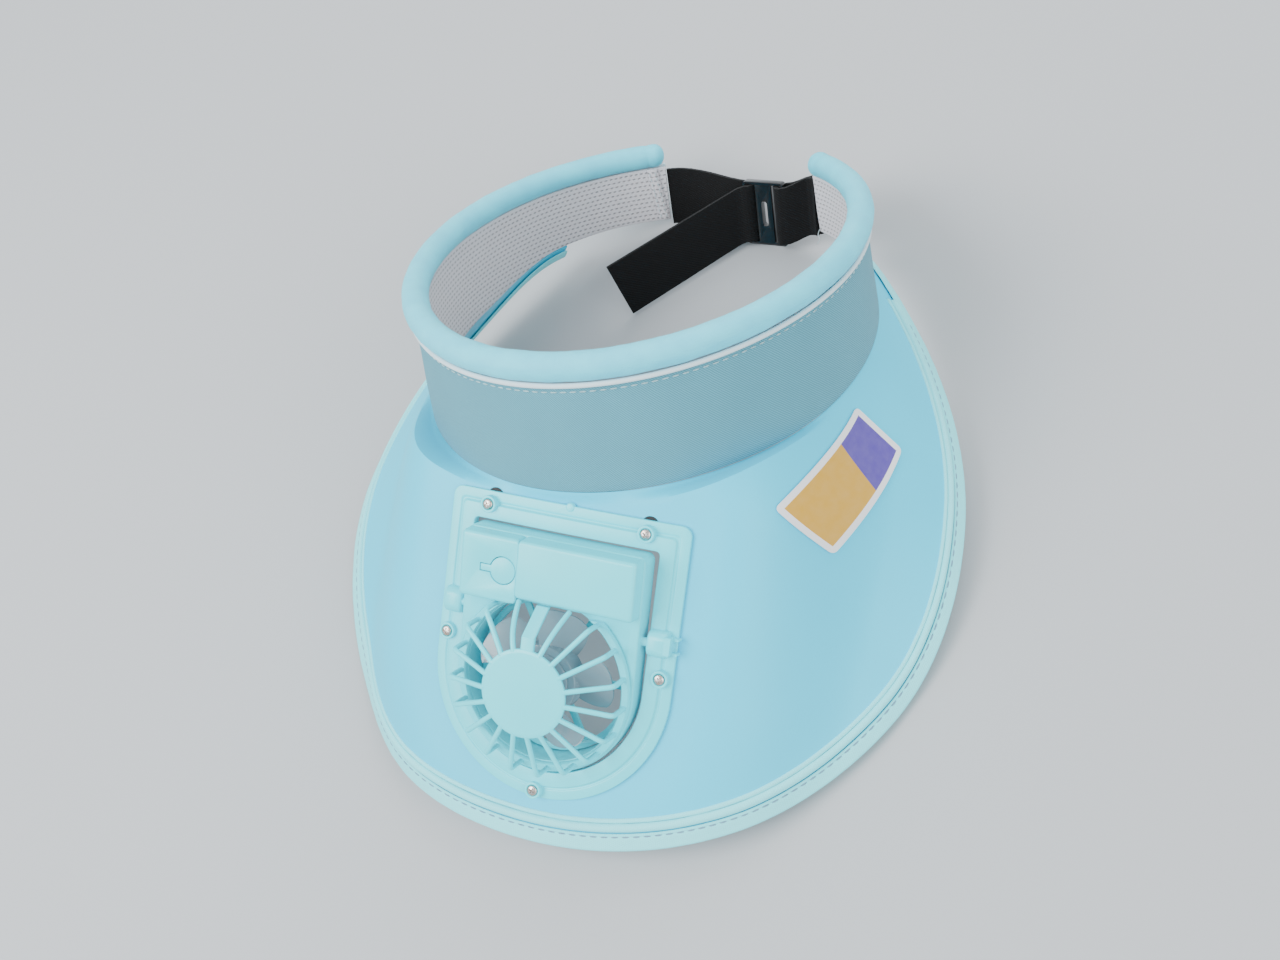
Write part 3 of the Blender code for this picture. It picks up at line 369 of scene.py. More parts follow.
def settle(piece: Piece, weld: bool = True, caps: bool = False) -> None:
    """Merge a shape's doubles, close its open loops and point its faces out.

    Args:
        piece: A closed shape, or one that its caps close.
        weld: Whether points that meet become one.
        caps: Whether open loops get a face.
    """
    with editing(piece):
        if weld:
            bpy.ops.mesh.remove_doubles(threshold=MERGE)
        if caps:
            bpy.ops.mesh.fill_holes(sides=0)
        bpy.ops.mesh.select_all(action="SELECT")
        bpy.ops.mesh.normals_make_consistent(inside=False)


def soften(piece: Piece, width: float = 0.0, segments: int = 2, angle: float = 35.0) -> None:
    """Round a piece's edges and shade it smooth.

    Args:
        piece: The piece.
        width: Width of the bevel on its sharp edges, 0 for none.
        segments: Steps of the bevel.
        angle: Edges sharper than this, in degrees, are bevelled or stay sharp.
    """
    activate(piece)
    if width:
        bevel = piece.modifiers.new("edges", "BEVEL")
        bevel.width = width
        bevel.segments = segments
        bevel.limit_method = "ANGLE"
        bevel.angle_limit = math.radians(angle)
        bevel.harden_normals = False
        apply_modifiers(piece)
    bpy.ops.object.shade_smooth_by_angle(angle=math.radians(angle))


def skin(name: str, us: Sequence[float], vs: Sequence[float],
         place: Callable[[float, float], tuple[Vector, Point]]) -> Piece:
    """Open surface: a grid primitive whose points are placed from two values.

    Args:
        name: Name of the piece.
        us: Values along the grid's columns.
        vs: Values along the grid's rows.
        place: Gives a point in the hat's frame and its place on the cloth in metres, for u and v.

    Returns:
        The surface, with a UV map in metres.
    """
    piece = start_from(bpy.ops.mesh.primitive_grid_add, name,
                       x_subdivisions=len(us) - 1, y_subdivisions=len(vs) - 1, size=1)
    mesh = piece.data
    cloth = []
    for vert in mesh.vertices:
        u = us[round((vert.co.x + 0.5) * (len(us) - 1))]
        v = vs[round((vert.co.y + 0.5) * (len(vs) - 1))]
        point, flat = place(u, v)
        vert.co = HAT @ point
        cloth.append(flat)
    layer = mesh.uv_layers.active
    for loop in mesh.loops:
        layer.data[loop.index].uv = cloth[loop.vertex_index]
    return piece


def hose(name: str, angles: Sequence[float], rows: int,
         place: Callable[[float, float], tuple[Vector, Point]]) -> Piece:
    """Closed skin round a line: rows go once round the section, and both ends are closed."""
    piece = skin(name, angles, spread(0, 1, rows), place)
    settle(piece, caps=True)
    activate(piece)
    bpy.ops.object.shade_smooth_by_angle(angle=math.radians(50))
    return piece


def thicken(piece: Piece, thickness: float, offset: float) -> None:
    """Give an open surface its wall."""
    wall = piece.modifiers.new("wall", "SOLIDIFY")
    wall.thickness = thickness
    wall.offset = offset
    wall.use_even_offset = True
    apply_modifiers(piece)


def rings(name: str, loops: Sequence[Sequence[Vector]], wrap: bool = False) -> Piece:
    """Shape extruded from a circle primitive, ring by ring.

    Args:
        name: Name of the piece.
        loops: Rings of equal count; each point has its own place.
        wrap: Whether the last ring runs back into the first, else both ends are closed.

    Returns:
        The closed shape.
    """
    piece = start_from(bpy.ops.mesh.primitive_circle_add, name,
                       vertices=len(loops[0]), radius=1, fill_type="NOTHING")
    bpy.ops.object.mode_set(mode="EDIT")
    bpy.ops.mesh.select_all(action="SELECT")
    shape = bmesh.from_edit_mesh(piece.data)
    walk = shape.verts[:]
    order = [walk[0]]
    while len(order) < len(walk):
        near = [edge.other_vert(order[-1]) for edge in order[-1].link_edges]
        order.append(next(vert for vert in near if vert not in order[-2:]))
    for vert, point in zip(order, loops[0]):
        vert.co = point
    places = {vert.index: i for i, vert in enumerate(order)}
    for loop in [*loops[1:], *([loops[0]] if wrap else [])]:
        bpy.ops.mesh.extrude_region_move()
        shape = bmesh.from_edit_mesh(piece.data)
        shape.verts.index_update()
        fresh = {}
        for vert in (v for v in shape.verts if v.select):
            root = next(e.other_vert(vert) for e in vert.link_edges if not e.other_vert(vert).select)
            fresh[vert.index] = places[root.index]
            vert.co = loop[places[root.index]]
        places = fresh
    bmesh.update_edit_mesh(piece.data)
    bpy.ops.object.mode_set(mode="OBJECT")
    settle(piece, weld=wrap, caps=not wrap)
    return piece


def arc(centre: Point, radius: float, start: float, end: float, count: int) -> list[Point]:
    """Points of an arc, angles in degrees, both ends included."""
    turns = [math.radians(t) for t in spread(start, end, count)]
    return [(centre[0] + radius * math.cos(t), centre[1] + radius * math.sin(t)) for t in turns]


def circle(radius: float, count: int = 64) -> list[Point]:
    """Points of a full circle."""
    return arc((0, 0), radius, 0, 360, count)[:-1]


def d_outline(half: float, top: float, corner: float) -> list[Point]:
    """Outline with a round lower end about the origin and a straight top with round corners."""
    side = [(half, y) for y in spread(0, top - corner, 8)[1:-1]]
    edge = [(x, top) for x in spread(half - corner, corner - half, 16)[1:-1]]
    right = arc((half - corner, top - corner), corner, 0, 90, 6)
    left = arc((corner - half, top - corner), corner, 90, 180, 6)
    return arc((0, 0), half, 180, 360, 56) + side + right + edge + left + [(-x, y) for x, y in side[::-1]]


def rounded_box(low: Point, high: Point, corner: float, steps: int = 5) -> list[Point]:
    """Outline of a rectangle with round corners."""
    points = []
    for i, (x, y) in enumerate((high, (low[0], high[1]), low, (high[0], low[1]))):
        centre = (x + (-corner if x == high[0] else corner), y + (-corner if y == high[1] else corner))
        points += arc(centre, corner, 90 * i, 90 * i + 90, steps)
    return points


def level(outline: Iterable[Point], height: float) -> list[Vector]:
    """Outline lifted to a height."""
    return [Vector((x, y, height)) for x, y in outline]


def rounded_profile(corners: Sequence[Point], radius: float, steps: int = 3) -> list[Point]:
    """Profile whose inner corners are drawn round.

    Args:
        corners: Points of the profile.
        radius: Reach of the rounding along both sides of each corner.
        steps: Points that each round corner gets, less one.

    Returns:
        The profile with its first and last point as they were.
    """
    points = [corners[0]]
    for before, corner, after in zip(corners, corners[1:], corners[2:]):
        here = Vector(corner)
        back, on = Vector(before) - here, Vector(after) - here
        first = here + back.normalized() * min(radius, back.length / 2)
        last = here + on.normalized() * min(radius, on.length / 2)
        for t in spread(0, 1, steps):
            points.append(tuple(first * (1 - t) ** 2 + here * 2 * t * (1 - t) + last * t * t))
    return [*points, corners[-1]]


def turned(name: str, profile: Sequence[Point], sides: int = 64) -> Piece:
    """Turned shape: rings of a profile of radii and heights round Z."""
    return rings(name, [level(circle(radius, sides), height) for radius, height in profile])


def wire(name: str, points: Sequence[Vector], radius: float, order: int = 3) -> Piece:
    """Round wire along a soft path, closed at its ends.

    Args:
        name: Name of the piece.
        points: Control points of the path.
        radius: Radius of the wire.
        order: Order of the path; higher is softer.

    Returns:
        The wire as a mesh.
    """
    curve = bpy.data.curves.new(name, "CURVE")
    curve.dimensions = "3D"
    curve.bevel_depth = radius
    curve.bevel_resolution = 3
    curve.use_fill_caps = True
    line = curve.splines.new("NURBS")
    line.points.add(len(points) - 1)
    for spot, point in zip(line.points, points):
        spot.co = (*point, 1)
    line.order_u = order
    line.use_endpoint_u = True
    line.resolution_u = 6
    piece = bpy.data.objects.new(name, curve)
    bpy.context.scene.collection.objects.link(piece)
    activate(piece)
    bpy.ops.object.convert(target="MESH")
    piece = named(name)
    settle(piece)
    return piece


def boolean(piece: Piece, operation: str, tools: Iterable[Piece]) -> None:
    """Join tools to a piece, or cut them from it, and delete them."""
    for tool in tools:
        change = piece.modifiers.new(tool.name, "BOOLEAN")
        change.operation = operation
        change.solver = "EXACT"
        change.object = tool
        apply_modifiers(piece)
        bpy.data.objects.remove(tool)


def put(piece: Piece, place: Matrix) -> Piece:
    """Move a piece's mesh from its own frame to its place."""
    piece.data.transform(place)
    return piece


def copies(name: str, model: Piece, places: Sequence[Matrix]) -> Piece:
    """One mesh of many copies of a small model, which is deleted."""
    joined = bmesh.new()
    for place in places:
        before = len(joined.verts)
        joined.from_mesh(model.data)
        joined.verts.ensure_lookup_table()
        bmesh.ops.transform(joined, matrix=place, verts=joined.verts[before:])
    mesh = bpy.data.meshes.new(name)
    joined.to_mesh(mesh)
    joined.free()
    bpy.data.objects.remove(model)
    piece = bpy.data.objects.new(name, mesh)
    bpy.context.scene.collection.objects.link(piece)
    activate(piece)
    bpy.ops.object.shade_smooth_by_angle(angle=math.radians(50))
    return piece


def copy_of(node: str, name: str) -> Piece:
    """Merged copy of a CAD node, with flat stretches as whole faces."""
    source = frame["nodes"][node]
    piece = bpy.data.objects.new(name, source.data.copy())
    bpy.context.scene.collection.objects.link(piece)
    piece.data.materials.clear()
    settle(piece)
    with editing(piece):
        bpy.ops.mesh.dissolve_limited(angle_limit=math.radians(1))
    return piece


class Value:
    """A number socket that takes part in sums, by adding Math nodes."""

    def __init__(self, shader: "Shader", socket: bpy.types.NodeSocket) -> None:
        """Wrap a socket of a shader's tree."""
        self.shader = shader
        self.socket = socket

    def math(self, operation: str, *values: "Value | float") -> "Value":
        """Result of a Math node on these values, in order."""
        inputs = dict(enumerate(values))
        return self.shader.value("ShaderNodeMath", {"operation": operation}, inputs)

    def __add__(self, other: "Value | float") -> "Value":
        """Sum."""
        return self.math("ADD", self, other)

    def __radd__(self, other: float) -> "Value":
        """Sum, reflected."""
        return self.math("ADD", other, self)

    def __sub__(self, other: "Value | float") -> "Value":
        """Difference."""
        return self.math("SUBTRACT", self, other)

    def __rsub__(self, other: float) -> "Value":
        """Difference, reflected."""
        return self.math("SUBTRACT", other, self)

    def __mul__(self, other: "Value | float") -> "Value":
        """Product."""
        return self.math("MULTIPLY", self, other)

    def __rmul__(self, other: float) -> "Value":
        """Product, reflected."""
        return self.math("MULTIPLY", other, self)

    def __truediv__(self, other: "Value | float") -> "Value":
        """Quotient."""
        return self.math("DIVIDE", self, other)

    def __gt__(self, other: "Value | float") -> "Value":
        """1 where this is greater."""
        return self.math("GREATER_THAN", self, other)

    def __lt__(self, other: "Value | float") -> "Value":
        """1 where this is less."""
        return self.math("LESS_THAN", self, other)

    def wave(self) -> "Value":
        """Sine, from 0 to 1, of this number of turns."""
        return self.math("SINE", self * math.tau) * 0.5 + 0.5

    def part(self) -> "Value":
        """Part after the point."""
        return self.math("FRACT", self)

    def whole(self) -> "Value":
        """Whole number below."""
        return self.math("FLOOR", self)

    def size(self) -> "Value":
        """Value without its sign."""
        return self.math("ABSOLUTE", self)

    def power(self, exponent: float) -> "Value":
        """This to a power."""
        return self.math("POWER", self, exponent)

    def ramp(self, low: float, high: float) -> "Value":
        """Soft step from 0 at low to 1 at high."""
        settings = {"interpolation_type": "SMOOTHSTEP"}
        return self.shader.value("ShaderNodeMapRange", settings, {0: self, 1: low, 2: high, 3: 0.0, 4: 1.0})


class Coordinates(Enum):
    """Where a pattern takes its place from."""

    OBJECT = "Object"
    CLOTH = "UV"


Colour = tuple[float, float, float, float]


def paint(red: float, green: float, blue: float) -> Colour:
    """Linear colour of a paint that is given as it looks, from 0 to 255."""
    parts = [c / 255 for c in (red, green, blue)]
    return (*[c / 12.92 if c <= 0.04045 else ((c + 0.055) / 1.055) ** 2.4 for c in parts], 1.0)


def shade(colour: Colour, factor: float) -> Colour:
    """Colour made lighter or darker by a factor."""
    return (*[min(c * factor, 1.0) for c in colour[:3]], 1.0)


class Shader:
    """Node tree of one material."""

    def __init__(self, name: str) -> None:
        """Make the material with its Principled shader."""
        self.material = bpy.data.materials.new(name)
        self.material.use_nodes = True
        self.tree = self.material.node_tree
        self.surface = self.tree.nodes["Principled BSDF"]

    def node(self, kind: str, settings: dict | None = None, inputs: dict | None = None) -> bpy.types.Node:
        """Add a node.

        Args:
            kind: Type of the node.
            settings: Attributes that are set first.
            inputs: Values or links of its sockets, by name or number.

        Returns:
            The node.
        """
        made = self.tree.nodes.new(kind)
        for key, setting in (settings or {}).items():
            setattr(made, key, setting)
        for key, given in (inputs or {}).items():
            self.feed(made.inputs[key], given)
        return made

    def feed(self, socket: bpy.types.NodeSocket, given: object) -> None:
        """Link a socket to another, or set its value."""
        if isinstance(given, Value):
            given = given.socket
        if isinstance(given, bpy.types.NodeSocket):
            self.tree.links.new(given, socket)
        else:
            socket.default_value = given

    def value(self, kind: str, settings: dict | None = None, inputs: dict | None = None) -> Value:
        """First output of a new node, as a number."""
        return Value(self, self.node(kind, settings, inputs).outputs[0])

    def place(self, source: Coordinates) -> bpy.types.NodeSocket:
        """Coordinates of a surface point."""
        return self.node("ShaderNodeTexCoord").outputs[source.value]

    def split(self, source: Coordinates) -> tuple[Value, Value, Value]:
        """Coordinates as three numbers."""
        parts = self.node("ShaderNodeSeparateXYZ", None, {0: self.place(source)})
        return tuple(Value(self, out) for out in parts.outputs)

    def cloud(self, pitch: float, source: Coordinates = Coordinates.OBJECT, detail: float = 3.0) -> Value:
        """Noise from about 0 to 1 whose lumps are a pitch across, in metres."""
        inputs = {"Vector": self.place(source), "Scale": 1 / pitch, "Detail": detail}
        return self.value("ShaderNodeTexNoise", None, inputs)

    def mix(self, share: Value | float, first: object, second: object) -> bpy.types.NodeSocket:
        """Colour between two, by a share."""
        node = self.node("ShaderNodeMix", {"data_type": "RGBA"}, {0: share, 6: first, 7: second})
        return node.outputs[2]

    def relief(self, height: Value, depth: float, strength: float = 1.0) -> None:
        """Bump the surface by a height from 0 to 1 over a depth in metres."""
        inputs = {"Height": height, "Distance": depth, "Strength": strength}
        self.feed(self.surface.inputs["Normal"], self.node("ShaderNodeBump", None, inputs).outputs[0])

    def set(self, **sockets: object) -> None:
        """Set or link sockets of the Principled shader, named with _ for a space."""
        for key, given in sockets.items():
            self.feed(self.surface.inputs[key.replace("_", " ")], given)


@dataclass(frozen=True)
class Finish:
    """A finish: its name, the record's slot, which is not used, and its main colour."""

    name: str
    slot: str
    colour: Colour
    roughness: float = 0.6

    def dress(self, shader: Shader) -> None:
        """Build the finish's nodes; each kind of finish has its own."""
        raise NotImplementedError

    @cache
    def material(self) -> bpy.types.Material:
        """Material of the finish, made once."""
        shader = Shader(f"{self.name}_finish")
        shader.set(Roughness=self.roughness)
        self.dress(shader)
        return shader.material


@dataclass(frozen=True)
class Laminate(Finish):
    """Smooth laminated sheet with a soft sheen and a slight, uneven surface."""

    grain: float = 0.0009
    depth: float = 0.00003

    def dress(self, shader: Shader) -> None:
        """Faint clouds of colour, fine grain and slow waves."""
        slow = shader.cloud(0.045, detail=1.0)
        fine = shader.cloud(self.grain)
        tone = slow * 0.7 + fine * 0.3
        shader.set(Base_Color=shader.mix(tone, shade(self.colour, 0.93), shade(self.colour, 1.06)),
                   Roughness=self.roughness + (fine - 0.5) * 0.16, Sheen_Weight=0.04, Sheen_Roughness=0.5)
        shader.relief(fine + slow * 6.0, self.depth)


@dataclass(frozen=True)
class Twill(Finish):
    """Fine diagonal twill on the cloth's own map."""

    pitch: float = 0.00095
    depth: float = 0.00014

    def dress(self, shader: Shader) -> None:
        """Diagonal wales cut across by finer threads."""
        u, v, _ = shader.split(Coordinates.CLOTH)
        wobble = shader.cloud(0.004, Coordinates.CLOTH) * 0.35
        wale = ((u + v) / self.pitch + wobble).wave()
        thread = ((u * 0.55 - v * 1.1) / (self.pitch * 0.62) + wobble).wave()
        height = wale.power(0.8) * (0.55 + thread * 0.45)
        worn = shader.cloud(0.02, Coordinates.CLOTH)
        # Painted shade: the hollows between the wales are darkened to 0.66 of the colour and the crests are
        # lightened; the worn clouds vary the crests at random.
        light = shader.mix(worn, shade(self.colour, 1.08), shade(self.colour, 1.30))
        shader.set(Base_Color=shader.mix(height, shade(self.colour, 0.66), light),
                   Roughness=0.95 - height * 0.2, Sheen_Weight=0.12, Sheen_Roughness=0.4)
        shader.relief(height, self.depth)


@dataclass(frozen=True)
class AirMesh(Finish):
    """Spacer mesh: small slits in diagonal rows over a fuzzy knit."""

    pitch: float = 0.0019
    depth: float = 0.0004

    def dress(self, shader: Shader) -> None:
        """Slits staggered from row to row, with round shoulders."""
        u, v, _ = shader.split(Coordinates.CLOTH)
        row = v / self.pitch
        cell = u / (self.pitch * 1.25) + row.whole() * 0.5
        across = (cell.part() - 0.5) * 1.25
        up = row.part() - 0.5
        tilted = across + up * 0.45
        reach = (tilted * tilted * 2.2 + up * up * 9.0).power(0.5)
        rim = reach.ramp(0.34, 0.66)
        fuzz = shader.cloud(0.0005, Coordinates.CLOTH)
        body = shader.mix(fuzz, shade(self.colour, 0.82), shade(self.colour, 1.15))
        # Painted shade: the slits are darkened to half the colour, as the shade inside them; the fuzz varies the
        # knit's tone at random.
        shader.set(Base_Color=shader.mix(rim, shade(self.colour, 0.50), body), Roughness=0.95,
                   Sheen_Weight=0.35, Sheen_Roughness=0.6)
        shader.relief(rim + fuzz * 0.25, self.depth)


@dataclass(frozen=True)
class Satin(Finish):
    """Close satin with a sheen and soft pulls along its length."""

    depth: float = 0.00010
    thread: float = 0.00042
    row: float = 0.00060

    def dress(self, shader: Shader) -> None:
        """Threads round the roll, long soft pulls and painted shade that darkens the pulls' hollows."""
        u, v, _ = shader.split(Coordinates.CLOTH)
        thread = (u / self.thread).wave() * (v / self.row + (u / (2 * self.thread))).wave()
        pull = shader.cloud(0.011, Coordinates.CLOTH, 2.0)
        height = thread * 0.18 + pull * 0.6
        # Painted shade: darker where the pulls dip, lighter on their crests.
        dark, light = shade(self.colour, 0.93), shade(self.colour, 1.05)
        shader.set(Base_Color=shader.mix(pull.ramp(0.25, 0.75), dark, light),
                   Roughness=self.roughness + (thread - 0.5) * 0.1, Sheen_Weight=0.15, Sheen_Roughness=0.3)
        shader.relief(height, self.depth * 6)


@dataclass(frozen=True)
class Weave(Finish):
    """Plain weave for binding, piping and tape."""

    pitch: float = 0.0007
    depth: float = 0.00010
    contrast: float = 0.12

    def dress(self, shader: Shader) -> None:
        """Over-and-under threads with painted shade where they dip, and slow random changes of tone."""
        u, v, _ = shader.split(Coordinates.CLOTH)
        weft = (u / self.pitch).wave()
        warp = (v / self.pitch + (u / self.pitch).whole() * 0.5).wave()
        slow = shader.cloud(0.012, Coordinates.CLOTH)
        height = weft * 0.5 + warp * 0.5
        # Painted shade: the tone is darker where the threads dip, mixed with slow random clouds.
        tone = height * 0.6 + slow * 0.4
        dark, light = shade(self.colour, 1 - self.contrast), shade(self.colour, 1 + self.contrast / 2)
        shader.set(Base_Color=shader.mix(tone, dark, light), Roughness=self.roughness + (height - 0.5) * 0.1,
                   Sheen_Weight=0.10, Sheen_Roughness=0.4)
        shader.relief(height + slow * 0.8, self.depth)


@dataclass(frozen=True)
class Webbing(Finish):
    """Black tape: ribbed weave with a fuzzy pile."""

    rib: float = 0.0013
    depth: float = 0.00025

    def dress(self, shader: Shader) -> None:
        """Upright ribs under fuzz, with painted sheen that makes the standing pile and the ribs' crests greyer, in
        random patches.
        """
        x, y, z = shader.split(Coordinates.OBJECT)
        rib = (z / self.rib + (x + y) / (self.rib * 1.6)).wave()
        fuzz = shader.cloud(0.0006, detail=6.0)
        patch = shader.cloud(0.009)
        # Painted sheen: the standing pile and the ribs' crests are lightened up to 1.5 times the colour, in random
        # patches.
        tone = fuzz.ramp(0.35, 0.8) * 0.8 + rib * 0.2
        pile = shade(self.colour, 1.5)
        shader.set(Base_Color=shader.mix(tone * (0.6 + patch * 0.6), self.colour, pile), Roughness=0.95,
                   Sheen_Weight=0.06, Sheen_Roughness=0.5, Specular_IOR_Level=0.3)
        shader.relief(rib * 0.4 + fuzz, self.depth)


@dataclass(frozen=True)
class Moulding(Finish):
    """Moulded plastic: satin skin, faint flow clouds and fine texture."""

    gloss: float = 0.10
    alpha: float = 1.0
    clouds: float = 0.05
    depth: float = 0.000012

    def dress(self, shader: Shader) -> None:
        """Slight changes of colour and gloss over a fine, shallow grain."""
        flow = shader.cloud(0.018, detail=2.0)
        grain = shader.cloud(0.00045)
        smear = shader.cloud(0.006, detail=4.0)
        dark, light = shade(self.colour, 1 - self.clouds), shade(self.colour, 1 + self.clouds)
        shader.set(Base_Color=shader.mix(flow, dark, light), Coat_Weight=self.gloss, Coat_Roughness=0.25,
                   Roughness=self.roughness + (smear - 0.5) * 0.18, Alpha=self.alpha)
        shader.relief(grain + flow * 2.0, self.depth)


@dataclass(frozen=True)
class Steel(Finish):
    """Plated steel with turning marks and a little tarnish."""

    def dress(self, shader: Shader) -> None:
        """Brushed, patchy metal."""
        brushed = shader.cloud(0.0003, detail=5.0)
        stain = shader.cloud(0.0012)
        warm = paint(196, 176, 158)
        shader.set(Base_Color=shader.mix(stain.ramp(0.35, 0.7), self.colour, warm), Metallic=1.0,
                   Roughness=self.roughness + (brushed - 0.5) * 0.3)
        shader.relief(brushed, 0.00004)


@dataclass(frozen=True)
class LabelFilm(Finish):
    """Bare film label: two fields split by a slant line, with a white border."""

    length: float = 0.043
    width: float = 0.0235
    border: float = 0.0021
    split_far: float = 0.432
    split_lean: float = 0.118
    lower: Colour = (0.62, 0.33, 0.0, 1.0)
    upper: Colour = (0.07, 0.03, 0.34, 1.0)

    def dress(self, shader: Shader) -> None:
        """Fields inside a border, with slight print mottle and scuffs."""
        u, v, _ = shader.split(Coordinates.CLOTH)
        edge_u = (u - self.length / 2).size() - (self.length / 2 - self.border)
        edge_v = (v - self.width / 2).size() - (self.width / 2 - self.border)
        inside = edge_u.math("MAXIMUM", edge_u, edge_v) < 0.0
        far = (u / self.length + v * (self.split_lean / self.width)) > self.split_far
        mottle = shader.cloud(0.003, Coordinates.CLOTH)
        field_colour = shader.mix(far, self.upper, self.lower)
        print_colour = shader.mix(mottle * 0.08, field_colour, self.colour)
        scuff = shader.cloud(0.0011, Coordinates.CLOTH, 5.0)
        shader.set(Base_Color=shader.mix(inside, self.colour, print_colour), Coat_Weight=0.25,
                   Coat_Roughness=0.2, Roughness=self.roughness + (scuff - 0.5) * 0.2)
        shader.relief(scuff, 0.00002)


BRIM_SHEET = Laminate("brim_sheet", "brim_sheet", paint(24, 212, 246), 0.50)
BAND_TWILL = Twill("band_twill", "band_twill", paint(92, 165, 184), 0.85)
AIR_MESH = AirMesh("air_mesh", "air_mesh", paint(214, 210, 215), 0.95)
SATIN_ROLL = Satin("satin_roll", "satin_roll", paint(92, 227, 254), 0.50)
WHITE_PIPING = Weave("white_piping", "white_piping", paint(222, 240, 246), 0.70, 0.0005)
BINDING = Weave("binding_cloth", "binding_cloth", paint(132, 243, 254), 0.60)
THREAD = Weave("sewing_thread", "binding_cloth", paint(196, 240, 246), 0.65, 0.0004)
# Painted shade: the rim's thread is a darker blue-grey than the binding, standing in for the shadow between the
# seam's puffs.
RIM_THREAD_SHADE = Weave("rim_thread_and_shade", "binding_cloth", paint(140, 180, 208), 0.70, 0.0004)
LABEL = LabelFilm("label_film", "label_film", paint(236, 236, 238), 0.35)
WEBBING = Webbing("black_webbing", "black_webbing", paint(6, 6, 7), 0.95)
BLACK = Moulding("black_plastic", "black_plastic", paint(18, 18, 19), 0.16, gloss=0.6)
# Painted shadow: thin dark discs stand in for the shade in the two slots behind the bezel's top corners.
SLOT_SHADOW = Moulding("painted_slot_shadow", "black_plastic", paint(22, 26, 30), 0.60, gloss=0.0)
MINT = Moulding("mint_plastic", "mint_plastic", paint(66, 230, 243), 0.34, gloss=0.2)
BLADES = Moulding("blade_plastic", "blade_plastic", paint(140, 164, 174), 0.20, gloss=0.3, alpha=0.88)
STEEL = Steel("screw_steel", "screw_steel", paint(200, 200, 202), 0.28)


def finished(piece: Piece, finish: Finish, body: Body, *nodes: str) -> Piece:
    """Dress a piece, set it on its body and let it stand for CAD nodes.

    Args:
        piece: The finished piece, its place in its mesh.
        finish: Its finish.
        body: Body that it rides on.
        nodes: CAD nodes that it replaces.

    Returns:
        The piece.
    """
    piece.data.materials.clear()
    piece.data.materials.append(finish.material())
    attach(piece, body.value)
    if nodes:
        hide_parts(*nodes)
    log.info("%s: %d faces, %s on %s", piece.name, len(piece.data.polygons), finish.name, body.value)
    return piece


def repaint(node: str, finish: Finish) -> None:
    """Give a CAD node that stays its finish."""
    slots = frame["nodes"][node].material_slots
    for slot in slots:
        slot.link = "OBJECT"
        slot.material = finish.material()


